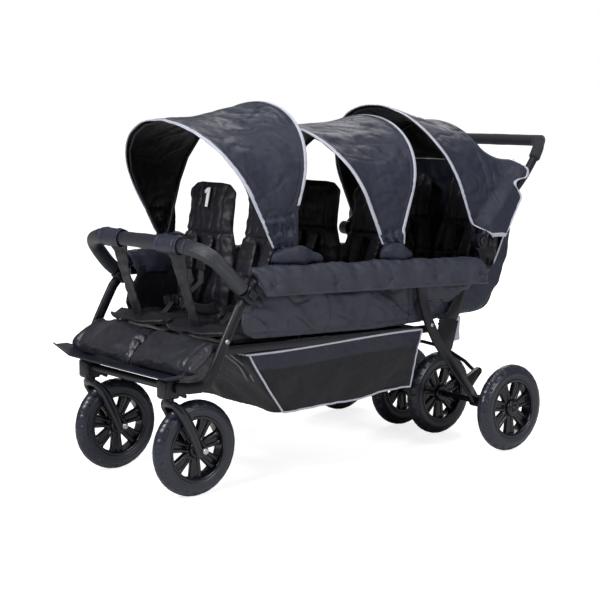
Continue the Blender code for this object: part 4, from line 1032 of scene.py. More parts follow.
@dataclass(frozen=True)
class FloorPaint(Finish):
    """Matt white floor, a little brighter to the camera so that it meets the background."""

    lift: float = 0.80

    def make(self, graph: NodeGraph) -> Material:
        """Build the matt paint and the camera's lift.

        Args:
            graph: An empty material.

        Returns:
            The finished material.
        """
        path = graph.add("LightPath")
        graph.shader.inputs["Emission Color"].default_value = (1.0, 1.0, 1.0, 1.0)
        far = graph.add("VectorMath", {0: graph.place(False)}, operation="LENGTH").outputs["Value"]
        lift = graph.add("MapRange", {"Value": far, "From Min": 1.2, "From Max": 3.5, "To Min": self.lift,
                                      "To Max": 1.0}, interpolation_type="SMOOTHSTEP")
        graph.feed(graph.shader.inputs["Emission Strength"],
                   graph.math("MULTIPLY", path.outputs["Is Camera Ray"], lift))
        return graph.finish(self.colour, 0.9, None, Specular_IOR_Level=0.1)


# Geometry Nodes

class Recipe(Graph):
    """A Geometry Nodes tree with named inputs, built once and run on any number of pieces."""

    def __init__(self, name: str, sockets: Sequence[tuple[str, str]]) -> None:
        """Start a tree with a geometry input and output.

        Args:
            name: The tree's name.
            sockets: Name and socket type of each further input.
        """
        super().__init__(bpy.data.node_groups.new(name, "GeometryNodeTree"))
        face = self.tree.interface
        face.new_socket("Geometry", in_out="INPUT", socket_type="NodeSocketGeometry")
        for label, kind in sockets:
            face.new_socket(label, in_out="INPUT", socket_type=kind)
        face.new_socket("Geometry", in_out="OUTPUT", socket_type="NodeSocketGeometry")
        self.start = self.tree.nodes.new("NodeGroupInput")
        self.end = self.tree.nodes.new("NodeGroupOutput")
        self.keys = {item.name: item.identifier for item in face.items_tree
                     if item.in_out == "INPUT"}

    def given(self, name: str) -> Socket:
        """The tree's own input of that name."""
        return self.start.outputs[name]

    def close(self, geometry: bpy.types.Node) -> "Recipe":
        """Realise the instances, set the material and end the tree.

        Args:
            geometry: The node that gives the instances.

        Returns:
            The finished tree.
        """
        real = self.add("GeometryNodeRealizeInstances", {0: geometry})
        painted = self.add("GeometryNodeSetMaterial", {"Geometry": real, "Material": self.given("Material")})
        self.feed(self.end.inputs[0], painted)
        return self

    def run(self, obj: Piece, finish: Finish, **values: object) -> Piece:
        """Run the tree on a piece and keep the result as its plain mesh.

        Args:
            obj: The piece whose mesh is the tree's input.
            finish: The finish that the result gets.
            **values: Inputs by name, with underscores for spaces.

        Returns:
            The same piece.
        """
        step = obj.modifiers.new(self.tree.name, "NODES")
        step.node_group = self.tree
        step[self.keys["Material"]] = finish.material()
        for key, value in values.items():
            step[self.keys[key.replace("_", " ")]] = value
        apply_modifiers(obj)
        if finish.slot:
            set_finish(obj, finish.slot)
        return obj


def round_repeat() -> Recipe:
    """The input mesh repeated evenly round the X axis, each copy a little different in size.

    Returns:
        The tree.
    """
    recipe = Recipe("round_repeat", [("Count", "NodeSocketInt"), ("Variation", "NodeSocketFloat"),
                                     ("Material", "NodeSocketMaterial")])
    points = recipe.add("GeometryNodePoints", {"Count": recipe.given("Count")})
    index = recipe.add("GeometryNodeInputIndex")
    turn = recipe.math("DIVIDE", recipe.math("MULTIPLY", index, 2 * PI), recipe.given("Count"))
    euler = recipe.add("ShaderNodeCombineXYZ", {"X": turn})
    rotation = recipe.add("FunctionNodeEulerToRotation", {0: euler})
    spread = recipe.add("FunctionNodeRandomValue", {"Min": -1.0, "Max": 1.0, "Seed": 11}, data_type="FLOAT")
    size = recipe.math("ADD", recipe.math("MULTIPLY", spread.outputs[1], recipe.given("Variation")), 1.0)
    copies = recipe.add("GeometryNodeInstanceOnPoints",
                        {"Points": points, "Instance": recipe.given("Geometry"), "Rotation": rotation,
                         "Scale": size})
    return recipe.close(copies)


def stitch_row() -> Recipe:
    """Short rounded stitches set at an even spacing along the input lines.

    Returns:
        The tree.
    """
    recipe = Recipe("stitch_row", [("Spacing", "NodeSocketFloat"), ("Length", "NodeSocketFloat"),
                                   ("Thickness", "NodeSocketFloat"), ("Material", "NodeSocketMaterial")])
    curve = recipe.add("GeometryNodeMeshToCurve", {0: recipe.given("Geometry")})
    spaced = recipe.add("GeometryNodeResampleCurve", {"Curve": curve, "Length": recipe.given("Spacing")},
                        mode="LENGTH")
    tangent = recipe.add("GeometryNodeInputTangent")
    along = recipe.add("FunctionNodeAlignRotationToVector", {"Vector": tangent}, axis="X")
    bead = recipe.add("GeometryNodeMeshUVSphere", {"Segments": 6, "Rings": 4, "Radius": 0.5})
    size = recipe.add("ShaderNodeCombineXYZ", {"X": recipe.given("Length"), "Y": recipe.given("Thickness"),
                                               "Z": recipe.given("Thickness")})
    copies = recipe.add("GeometryNodeInstanceOnPoints",
                        {"Points": spaced, "Instance": bead, "Rotation": along, "Scale": size})
    return recipe.close(copies)


def set_on_points() -> Recipe:
    """A copy of one small piece on each input point, turned to face along the point's facing.

    Returns:
        The tree.
    """
    recipe = Recipe("set_on_points", [("Piece", "NodeSocketObject"), ("Size", "NodeSocketFloat"),
                                      ("Material", "NodeSocketMaterial")])
    facing = recipe.add("GeometryNodeInputNamedAttribute", {"Name": "facing"}, data_type="FLOAT_VECTOR")
    rotation = recipe.add("FunctionNodeAlignRotationToVector", {"Vector": facing}, axis="Z")
    piece = recipe.add("GeometryNodeObjectInfo", {"Object": recipe.given("Piece")})
    copies = recipe.add("GeometryNodeInstanceOnPoints",
                        {"Points": recipe.given("Geometry"), "Instance": piece.outputs["Geometry"],
                         "Rotation": rotation, "Scale": recipe.given("Size")})
    return recipe.close(copies)


class Repeats:
    """The three repeating trees and the small pieces that they set."""

    def __init__(self) -> None:
        """Build the trees and the snap cap."""
        self.around = round_repeat()
        self.stitches = stitch_row()
        self.on_points = set_on_points()
        self.cap = self.snap_cap()

    def snap_cap(self) -> Piece:
        """A round cap of radius 1 with a raised ring, which stands on its own +Z.

        Returns:
            The cap, out of view.
        """
        profile = [(0.0, 0.30), (0.45, 0.34), (0.62, 0.20), (0.74, 0.34), (0.94, 0.26), (1.0, 0.0)]
        angle = whole_turn(14)
        rows = np.array([[(radius * math.cos(a), radius * math.sin(a), height) for a in angle]
                         for radius, height in profile])
        cap = Draft().grid(rows, wrap=True).piece("snap_cap_pattern", [SNAP_METAL])
        cap.hide_render = True
        cap.hide_viewport = True
        bpy.context.scene.collection.objects.unlink(cap)
        return cap

    def fasten(self, name: str, places: Sequence[Point], facings: Sequence[Point], radius: float,
               finish: Finish, body: str) -> Piece:
        """Set caps, rivets or bolt heads on points of one body.

        Args:
            name: The new piece's name.
            places: Where each stands.
            facings: Which way each faces.
            radius: Their radius.
            finish: Their finish.
            body: The CAD body that they ride on.

        Returns:
            The piece that holds them all.
        """
        mesh = bpy.data.meshes.new(name)
        mesh.from_pydata([tuple(place) for place in places], [], [])
        attribute = mesh.attributes.new("facing", "FLOAT_VECTOR", "POINT")
        attribute.data.foreach_set("vector", np.array(facings, np.float32).ravel())
        obj = add_object(name, mesh)
        self.on_points.run(obj, finish, Piece=self.cap, Size=radius)
        obj.data.shade_smooth()
        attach(obj, body)
        return obj

    def stitch(self, name: str, lines: Sequence[Array], finish: Finish = THREAD) -> Piece:
        """Sew rows of stitches along lines.

        Args:
            name: The new piece's name.
            lines: Points of each seam.
            finish: The thread's finish.

        Returns:
            The piece that holds all the stitches, which still has to ride or blend.
        """
        points, edges = [], []
        for line in lines:
            base = len(points)
            points += [tuple(point) for point in line]
            edges += [(base + index, base + index + 1) for index in range(len(line) - 1)]
        mesh = bpy.data.meshes.new(name)
        mesh.from_pydata(points, edges, [])
        obj = add_object(name, mesh)
        self.stitches.run(obj, finish, Spacing=0.0062, Length=0.0040, Thickness=0.0009)
        obj.data.shade_smooth()
        return obj


# Wheels

@dataclass
class Wheel:
    """A foam-filled tyre with shoulder blocks on a glossy rim with paired spokes."""

    name: str
    centre: Point
    repeats: Repeats
    radius: float = WHEEL_RADIUS
    bead_radius: float = 0.0878
    tyre_half: float = 0.0225
    rim_half: float = 0.0215
    hub_radius: float = 0.026
    hub_half: float = 0.0228
    bore: float = 0.0066
    spoke_pairs: int = 7
    blocks: int = 24
    steps: int = 96

    def build(self) -> None:
        """Make the tyre, its blocks, the rim and its spokes, in place of the two CAD nodes."""
        tyre = self.tyre()
        blocks = self.tread()
        rim = self.rim()
        spokes = self.spokes()
        body = body_of("tyre_" + self.name)
        for piece in (tyre, blocks, rim, spokes):
            piece.data.transform(Matrix.Translation(self.centre))
            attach(piece, body)
        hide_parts("tyre_" + self.name)
        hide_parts("rim_" + self.name)
        LOG.info("wheel %s", self.name)

    def half_profile(self) -> list[tuple[float, float]]:
        """Tyre section from the bead up to the crown, as (radius, distance from the middle).

        Returns:
            The section's points.
        """
        bead, half, top = self.bead_radius, self.tyre_half, self.radius - 0.0012
        return [(bead + 0.0002, half - 0.0046), (bead + 0.0022, half - 0.0022),
                (bead + 0.0056, half - 0.0007), (bead + 0.0090, half - 0.0002),
                (bead + 0.0102, half - 0.0010), (bead + 0.0114, half - 0.0002),
                (bead + 0.0160, half), (bead + 0.0215, half - 0.0004), (bead + 0.0265, half - 0.0017),
                (bead + 0.0283, half - 0.0034), (bead + 0.0300, half - 0.0036), (top - 0.0105, half - 0.0055),
                (top - 0.0066, half - 0.0085), (top - 0.0032, half - 0.0122), (top - 0.0010, half - 0.0164),
                (top, half - 0.0205), (top, 0.0)]

    def tyre(self) -> Piece:
        """The tyre's turned body with a bead line and a scuff line.

        Returns:
            The tyre.
        """
        half = self.half_profile()
        profile = half + [(radius, -x) for radius, x in reversed(half[:-1])] + [half[0]]
        return Draft().turn(profile, self.steps).piece("tyre_%s_body" % self.name, [TYRE_RUBBER])

    def tread(self) -> Piece:
        """Slanted shoulder blocks with domed tops on both sides, repeated round the tyre.

        Returns:
            The blocks.
        """
        draft = Draft()
        shoulder = np.array(self.half_profile()[9:16])
        even = np.linspace(0.0, 1.0, len(shoulder))
        pitch = 2 * PI / self.blocks
        slant = np.linspace(-0.10, 0.10, len(shoulder)) * pitch
        for sign, phase in ((1, 0.0), (-1, 0.5 * pitch)):

            def edge(inset: float, lift: float, share: float) -> list[Point]:
                """The section's points across a block, at a share of its half width.

                Args:
                    inset: Share left out at each end.
                    lift: Height above the tyre.
                    share: Where across the block, from -1 to 1.

                Returns:
                    The points.
                """
                half_turn = 0.36 * pitch * (1.0 - 0.55 * inset) * share
                places = np.linspace(inset, 1.0 - inset, len(shoulder))
                line = [np.interp(places, even, shoulder[:, axis]) for axis in (0, 1)]
                return [self.on_tyre(radius + lift, sign * x, offset + half_turn + phase)
                        for radius, x, offset in zip(*line, slant)]

            top = np.array([edge(0.10, 0.0006, share) for share in (-1.0, 0.0, 1.0)])
            draft.grid(top.transpose(1, 0, 2), flip=sign < 0)
            rings = [edge(inset, lift, -1.0) + edge(inset, lift, 1.0)[::-1]
                     for inset, lift in ((0.0, -0.0012), (0.0, 0.0001), (0.10, 0.0006))]
            draft.grid(np.array(rings), wrap=True, flip=sign < 0)
        obj = draft.piece("tyre_%s_tread" % self.name, [TYRE_RUBBER])
        return self.repeats.around.run(obj, TYRE_RUBBER, Count=self.blocks, Variation=0.0006)

    @staticmethod
    def on_tyre(radius: float, x: float, angle: float) -> Point:
        """A point at a radius and angle about the wheel's axis."""
        return x, radius * math.cos(angle), radius * math.sin(angle)

    def rim(self) -> Piece:
        """The barrel with rolled lips, and the stepped hub with its bore.

        Returns:
            The rim.
        """
        seat = self.bead_radius - 0.0004
        inner = seat - 0.0072
        lip = self.rim_half
        half = [(inner - 0.0006, 0.0), (inner - 0.0002, lip - 0.010), (inner + 0.0006, lip - 0.0032),
                (inner + 0.0020, lip - 0.0010), (inner + 0.0046, lip + 0.0004), (seat + 0.0010, lip + 0.0006),
                (seat + 0.0028, lip - 0.0002), (seat + 0.0032, lip - 0.0016), (seat + 0.0012, lip - 0.0030),
                (seat, lip - 0.0050), (seat, 0.0)]
        barrel = [(radius, x) for radius, x in half] + [(radius, -x) for radius, x in reversed(half)]
        hub, end = self.hub_radius, self.hub_half
        nose = [(self.bore, end), (hub * 0.50, end), (hub * 0.54, end - 0.0010), (hub * 0.66, end - 0.0010),
                (hub * 0.72, end - 0.0004), (hub * 0.86, end - 0.0022), (hub * 0.97, end - 0.0056),
                (hub, end - 0.0090), (hub + 0.0012, 0.0080), (hub + 0.0040, 0.0072), (hub + 0.0052, 0.0050),
                (hub + 0.0052, 0.0)]
        hub_ring = nose + [(radius, -x) for radius, x in reversed(nose[:-1])] + [nose[0]]
        draft = Draft().turn(barrel, self.steps).turn(hub_ring, 48)
        return draft.piece("rim_%s_body" % self.name, [RIM_PLASTIC], sharp_deg=50.0)

    def spokes(self) -> Piece:
        """Seven broad spokes, each of two crowned ribs with a sunk web between them.

        Returns:
            The spokes.
        """
        draft = Draft()
        reach = np.linspace(self.hub_radius - 0.002, self.bead_radius - 0.0062, 14)
        share = np.linspace(0.0, 1.0, 14)
        swell = 0.0020 * (2 * share - 1) ** 6
        for sign in (1, -1):
            path = np.column_stack([np.zeros(14), sign * (0.0076 + 0.0056 * share), -reach])
            sections = np.array([ellipse_section(0.0116 + 0.0044 * s + 2 * w, 0.0172 - 0.0024 * s + 2 * w,
                                                 18, 0.72) for s, w in zip(share, swell)])
            draft.sweep(path, sections, hint=(1.0, 0.0, 0.0))
        path = np.column_stack([np.zeros(14), np.zeros(14), -reach])
        sections = np.array([ellipse_section(0.0160 + 0.0120 * s, 0.0096, 14, 0.6) for s in share])
        draft.sweep(path, sections, hint=(1.0, 0.0, 0.0))
        obj = draft.piece("rim_%s_spokes" % self.name, [RIM_PLASTIC], sharp_deg=60.0)
        return self.repeats.around.run(obj, RIM_PLASTIC, Count=self.spoke_pairs, Variation=0.0)


# Canopies

def wrap_handle(points: Array, tube_x: float = 0.3225) -> Array:
    """Lead low cloth outside the handle's tubes and leave high cloth inside them.

    Args:
        points: The cloth's points.
        tube_x: X of cloth that lies just outside a tube.

    Returns:
        The moved points.
    """
    y = points[..., 1]
    above = points[..., 2] - (KNUCKLE[1] + (y - KNUCKLE[0]) * 0.97)
    outside = (1.0 - smooth_step(above, 0.022, 0.075)) * smooth_step(y, 0.400, 0.440)
    points = points.copy()
    points[..., 0] += np.sign(points[..., 0]) * np.maximum(0.0, tube_x - np.abs(points[..., 0])) * outside
    return points


@dataclass
class Canopy:
    """A cloth hood on two hoops, edged with reflective tape and gathered above its clips."""

    number: int
    half: float
    front_y: float
    front_tilt: float
    front_rise: float
    rear_y: float
    rear_tilt: float
    rear_rise: float
    foot_z: float
    front_foot: float
    rear_foot: float
    roll_span: tuple[float, float]
    boot_height: float
    rear_tape_from: float
    repeats: Repeats
    step_in: float = 0.0115
    bow_radius: float = 0.0045
    edge: float = 0.045
    cloth: float = CLOTH
    sag: float = 0.010
    columns: int = 52
    hem_columns: int = 13
    arc_steps: int = 150
    leg_steps: int = 30

    @property
    def body(self) -> str:
        """The CAD body of the swinging hoop."""
        return "canopy_%d" % self.number

    @property
    def booted(self) -> bool:
        """Whether the cloth ends in a gathered boot over a roll; the last canopy runs into the rear hood."""
        return self.roll_span[1] > self.roll_span[0]

    def hoop(self, front: bool, grow: float) -> tuple[Array, Array]:
        """Points along a hoop from the left foot over the top to the right foot.

        Args:
            front: The swinging hoop instead of the fixed one.
            grow: Distance outside the hoop's middle line.

        Returns:
            The points, and each point's height along the hoop's own plane.
        """
        half = self.half - (self.step_in if front else 0.0) + grow
        rise = self.front_rise if front else self.rear_rise
        foot = self.front_foot if front else self.rear_foot
        lean = math.radians(-self.front_tilt if front else self.rear_tilt)
        straight = 0.44 * rise
        angle = np.linspace(0.0, PI, self.arc_steps)
        leg = foot + (straight - foot) * np.linspace(0.0, 1.0, self.leg_steps, endpoint=False)
        x = np.concatenate([np.full(len(leg), half), half * np.cos(angle), np.full(len(leg), -half)])
        height = np.concatenate([leg, straight + (rise + grow - straight) * np.sin(angle), leg[::-1]])
        reach = np.maximum(height, self.boot_height) if self.booted and not front else height
        y = (self.front_y if front else self.rear_y) + reach * math.sin(lean)
        return np.column_stack([x, y, self.foot_z + height * math.cos(lean)]), height

    def across(self) -> Array:
        """Shares from the front edge to the rear edge, closer together at the two hems.

        Returns:
            The shares in order.
        """
        hem = np.linspace(0.0, 0.13, self.hem_columns, endpoint=False)
        middle = np.linspace(0.13, 0.87, self.columns - 2 * self.hem_columns)
        share = np.concatenate([hem, middle, 1.0 - hem[::-1]])
        return -self.edge + share * (1.0 + self.edge + (self.edge if self.booted else 0.0))

    def grid(self) -> Array:
        """Outer face of the cloth, rows along the hoops and columns from front to rear.

        Returns:
            The points, as (rows, columns, 3).
        """
        grow = self.bow_radius + self.cloth + 0.0006
        front, height = self.hoop(True, grow)
        rear, rear_height = self.hoop(False, grow)
        share = self.across()[None, :, None]
        base = front[:, None] * (1.0 - share) + rear[:, None] * share
        if not self.booted:
            near_foot = 1.0 - smooth_step(height, self.front_foot, self.front_foot + 0.060)
            slide = (near_foot ** 2)[:, None] * (1.0 - np.clip(share[..., 0] / 0.4, 0.0, 1.0)) ** 2
            base[..., 1] += 0.024 * slide
            base[..., 2] -= 0.003 * slide
        normal = surface_normals(base)
        width = np.linalg.norm(rear - front, axis=1)[:, None]
        place = np.clip(self.across(), 0.0, 1.0)[None, :]
        from_front = (self.across()[None, :] + self.edge) * width
        from_rear = (self.across()[-1] - self.across()[None, :]) * width
        height = height[:, None] * (1.0 - place) + rear_height[:, None] * place
        arch = smooth_step(height, 0.13, 0.30)
        lift = -self.sag * np.sin(PI * place) * arch
        lift += 0.004 * np.sin(PI * place) * (1.0 - arch)
        for distance in (from_front, from_rear):
            lift += 0.0016 * ridge(distance, 0.013, 0.007) - 0.0013 * ridge(distance, 0.0215, 0.0026)
        ends = smooth_step(place, 0.0, 0.12) * smooth_step(1.0 - place, 0.0, 0.12)
        pull = ripple(base, 5.5, 30 + self.number, (1.0, 0.35, 1.0))
        fine = ripple(base, 17.0, 40 + self.number, (1.0, 0.6, 1.0))
        crease = np.abs(ripple(base, 8.0, 45 + self.number, (1.0, 0.5, 1.0)))
        lift += ends * (0.0040 * pull + 0.0010 * fine - 0.0034 * np.maximum(0.25 - crease, 0.0) / 0.25)
        if self.booted:
            lift += self.boot_folds(base, height, place)
        hem = np.maximum(1.0 - from_front / 0.02, 0.0) * ripple(front, 9.0, 35 + self.number)[:, None]
        return wrap_handle(base + normal * (lift + 0.0016 * hem)[..., None])

    def boot_folds(self, base: Array, height: Array, place: Array) -> Array:
        """Gathers of the boot below its pinched seam, as distances along the normal.

        Args:
            base: The cloth's points without folds.
            height: Their heights along the hoops.
            place: Their shares from front to rear.

        Returns:
            One distance for each point.
        """
        seam = self.boot_height - 0.014 + 0.012 * place
        low = 1.0 - smooth_step(height, seam - 0.010, seam + 0.012)
        slant = base.copy()
        slant[..., 2] += 0.8 * slant[..., 1]
        crinkle = ripple(slant, 30.0, 50 + self.number, (0.5, 1.3, 0.6))
        crush = ripple(base, 48.0, 60 + self.number)
        puff = 0.0060 * np.sin(PI * np.clip(height / self.boot_height, 0.0, 1.0)) * np.sin(PI * place) ** 0.5
        hold = np.sin(PI * np.clip(place, 0.02, 0.98)) ** 0.6
        pinch = 0.0065 * self.boot_height / 0.125 * ridge(height - seam, 0.0, 0.0055)
        return hold * (low * (0.0078 * crinkle + 0.0034 * crush) - pinch) + low * puff

    def build(self) -> None:
        """Make the cloth, its tapes, stitches, rolls and hoops."""
        grid = self.grid()
        cloth = Draft().grid(grid).piece("canopy_%d_cloth" % self.number, [OUTER_CLOTH, LINING], weld=False)
        thicken(cloth, self.cloth, 1)
        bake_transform(cloth, "frame", self.body, **self.blending())
        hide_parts("canopy_%d_fabric" % self.number)
        pieces = self.tapes(grid)
        pieces.append(self.hem_stitches(grid, True))
        if self.booted:
            pieces.append(self.hem_stitches(grid, False))
            for side in Side:
                self.roll(side)
        self.hoops()
        LOG.info("canopy %d: cloth %d x %d points", self.number, *grid.shape[:2])

    def blending(self) -> dict[str, Vector]:
        """Where the cloth passes from the fixed hoop's body to the swinging hoop's.

        Returns:
            The start and the end of the change.
        """
        start = Vector((0.0, self.rear_y, self.foot_z))
        lean = math.radians(self.rear_tilt)
        return {"start": start, "end": start + Vector((0.0, -math.cos(lean), math.sin(lean))) * 0.12}

    def tapes(self, grid: Array) -> list[Piece]:
        """Reflective binding round the free edges of the cloth.

        Args:
            grid: The cloth's points.

        Returns:
            The tapes.
        """
        if not self.booted:
            tape = binding("canopy_3_edge_tape", *border(grid, ["-first_row", "first_column", "last_row"]))
            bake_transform(tape, "frame", self.body, **self.blending())
            return [tape]
        front = binding("canopy_%d_front_tape" % self.number, *border(grid, ["first_column"]))
        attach(front, self.body)
        low = int(np.argmax(grid[:, -1, 2] > self.foot_z + self.rear_tape_from))
        edge, inner, face = (part[low:len(part) - low] for part in border(grid, ["last_column"]))
        rear = binding("canopy_%d_rear_tape" % self.number, edge, inner, face)
        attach(rear, "frame")
        return [front, rear]

    def hem_stitches(self, grid: Array, front: bool) -> Piece:
        """A row of stitches along the hoop's sleeve.

        Args:
            grid: The cloth's points.
            front: Whether it is the swinging hoop's sleeve.

        Returns:
            The stitches.
        """
        share = self.across()
        width = np.linalg.norm(grid[:, -1] - grid[:, 0], axis=1)
        normal = surface_normals(grid)
        line = []
        for row, (points, span) in enumerate(zip(grid, width)):
            place = share[0] + 0.0215 / span if front else share[-1] - 0.0215 / span
            column = int(np.argmin(np.abs(share - place)))
            line.append(points[column] + normal[row, column] * 0.0003)
        line = even_path(np.array(line)[14:-14], 260, round_off=False)
        word = "front" if front else "rear"
        obj = self.repeats.stitch("canopy_%d_%s_stitches" % (self.number, word), [line])
        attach(obj, self.body if front else "frame")
        return obj

    def roll(self, side: Side) -> Piece:
        """The puffed cloth flap that hides the clip on the rail cover.

        Args:
            side: Which side.

        Returns:
            The roll.
        """
        steps, count = 46, 40
        start, end = self.roll_span
        place = np.linspace(-1.0, 1.0, steps)
        close = np.sqrt(1.0 - np.abs(place) ** 3.0)
        tail = 1.0 - 0.34 * smooth_step(place, 0.05, 0.75)
        rows = []
        for share, shut, low in zip(place, close, tail):
            y = (start + end) / 2 + share * (end - start) / 2
            section = ellipse_section(0.042 * shut * low + 0.0004, 0.048 * shut * low + 0.0004, count, 0.8)
            floor = rail_z(y) + 0.0385
            rows.append(np.column_stack([side.value * (self.half + 0.008) + section[:, 0], np.full(count, y),
                                         floor + 0.0235 * (0.25 + 0.75 * shut * low) + section[:, 1]]))
        rows = np.array(rows)
        away = unit(rows - rows.mean(axis=1, keepdims=True))
        folds = ripple(rows, 9.0, 80 + self.number, (1.0, 1.0, 0.6)) * 0.0022
        folds += ripple(rows, 26.0, 90 + self.number) * 0.0007
        rows = rows + away * folds[..., None]
        rows[..., 2] = np.maximum(rows[..., 2], rail_z(rows[..., 1]) + 0.0372)
        obj = Draft().tube(rows).piece("canopy_%d_roll_%s" % (self.number, side.word), [OUTER_CLOTH])
        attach(obj, "frame")
        return obj

    def hoops(self) -> None:
        """Finish the two hoops' CAD shapes."""
        for end in ("rear", "front"):
            refined("canopy_%d_%s_bow" % (self.number, end), BLACK_PLASTIC, WORN_PLASTIC, 0.0006,
                    name="canopy_%d_%s_hoop" % (self.number, end))


# Padding

def swell(obj: Piece, limit: float) -> Piece:
    """Blow a pad up like stuffed cloth with a short cloth simulation, and keep the result as its mesh.

    Args:
        obj: The pad, a little smaller than it ends up.
        limit: Furthest that a point may move.

    Returns:
        The same pad.
    """
    remesh = obj.modifiers.new("even", "REMESH")
    remesh.mode = "VOXEL"
    remesh.voxel_size = 0.0055
    apply_modifiers(obj)
    obj.data.shade_smooth()
    before = np.array([vert.co for vert in obj.data.vertices])
    cloth = obj.modifiers.new("stuffing", "CLOTH")
    cloth.settings.use_pressure = True
    cloth.settings.uniform_pressure_force = 4.0
    cloth.settings.tension_stiffness = 12.0
    cloth.settings.shear_stiffness = 6.0
    cloth.settings.effector_weights.gravity = 0.0
    scene = bpy.context.scene
    for number in range(1, 21):
        scene.frame_set(number)
    graph = bpy.context.evaluated_depsgraph_get()
    mesh = bpy.data.meshes.new_from_object(obj.evaluated_get(graph))
    after = np.array([vert.co for vert in mesh.vertices])
    move = after - before
    length = np.maximum(np.linalg.norm(move, axis=1, keepdims=True), 1e-9)
    after = before + move / length * limit * np.tanh(length / limit)
    obj.modifiers.clear()
    obj.data.vertices.foreach_set("co", after.astype(np.float32).ravel())
    scene.frame_set(1)
    bpy.data.meshes.remove(mesh)
    step = obj.modifiers.new("finer", "SUBSURF")
    step.levels = 1
    step.render_levels = 1
    return apply_modifiers(obj)


def shape_points(obj: Piece, change: Callable[[Array, Array], Array]) -> Piece:
    """Move a mesh's points by a rule of their places and normals.

    Args:
        obj: The piece.
        change: Takes the points and their normals, and gives the new points.

    Returns:
        The same piece.
    """
    mesh = obj.data
    points = np.array([vert.co for vert in mesh.vertices])
    normals = np.array([normal.vector for normal in mesh.vertex_normals])
    mesh.vertices.foreach_set("co", change(points, normals).astype(np.float32).ravel())
    mesh.update()
    return obj


def pad_shell(name: str, finish: Finish, middle: Array, widths: Array, thickness: Array,
              facing: Array) -> Piece:
    """A closed pad: flattened ovals across X along a bent middle line.

    Args:
        name: The pad's name.
        finish: Its cloth.
        middle: Middle line as (y, z).
        widths: Full width at each point.
        thickness: Full thickness at each point.
        facing: Direction of the thickness at each point, as (y, z).

    Returns:
        The pad, not yet swelled.
    """
    rows = []
    for (y, z), width, depth, (ny, nz) in zip(middle, widths, thickness, facing):
        section = ellipse_section(width, depth, 56, 0.55)
        rows.append(np.column_stack([section[:, 0], y + ny * section[:, 1], z + nz * section[:, 1]]))
    return Draft().tube(np.array(rows)).piece(name, [finish])


def ribbon(name: str, finish: Finish, path: Array, across: Array, width: float, thickness: float) -> Piece:
    """A flat strap or tape along a path.

    Args:
        name: The strap's name.
        finish: Its webbing or tape.
        path: Points of its middle.
        across: Direction of its width, one for all points or one each.
        width: Its width.
        thickness: Its thickness.

    Returns:
        The strap.
    """
    across = np.broadcast_to(np.array(across, float), path.shape)
    tangent = unit(np.gradient(path, axis=0))
    side = unit(across - tangent * (across * tangent).sum(axis=1, keepdims=True))
    normal = np.cross(tangent, side)
    section = ellipse_section(width, thickness, 12, 0.55)
    rows = path[:, None] + section[:, :1] * side[:, None] + section[:, 1:] * normal[:, None]
    return Draft().tube(rows).piece(name, [finish])


# Seats

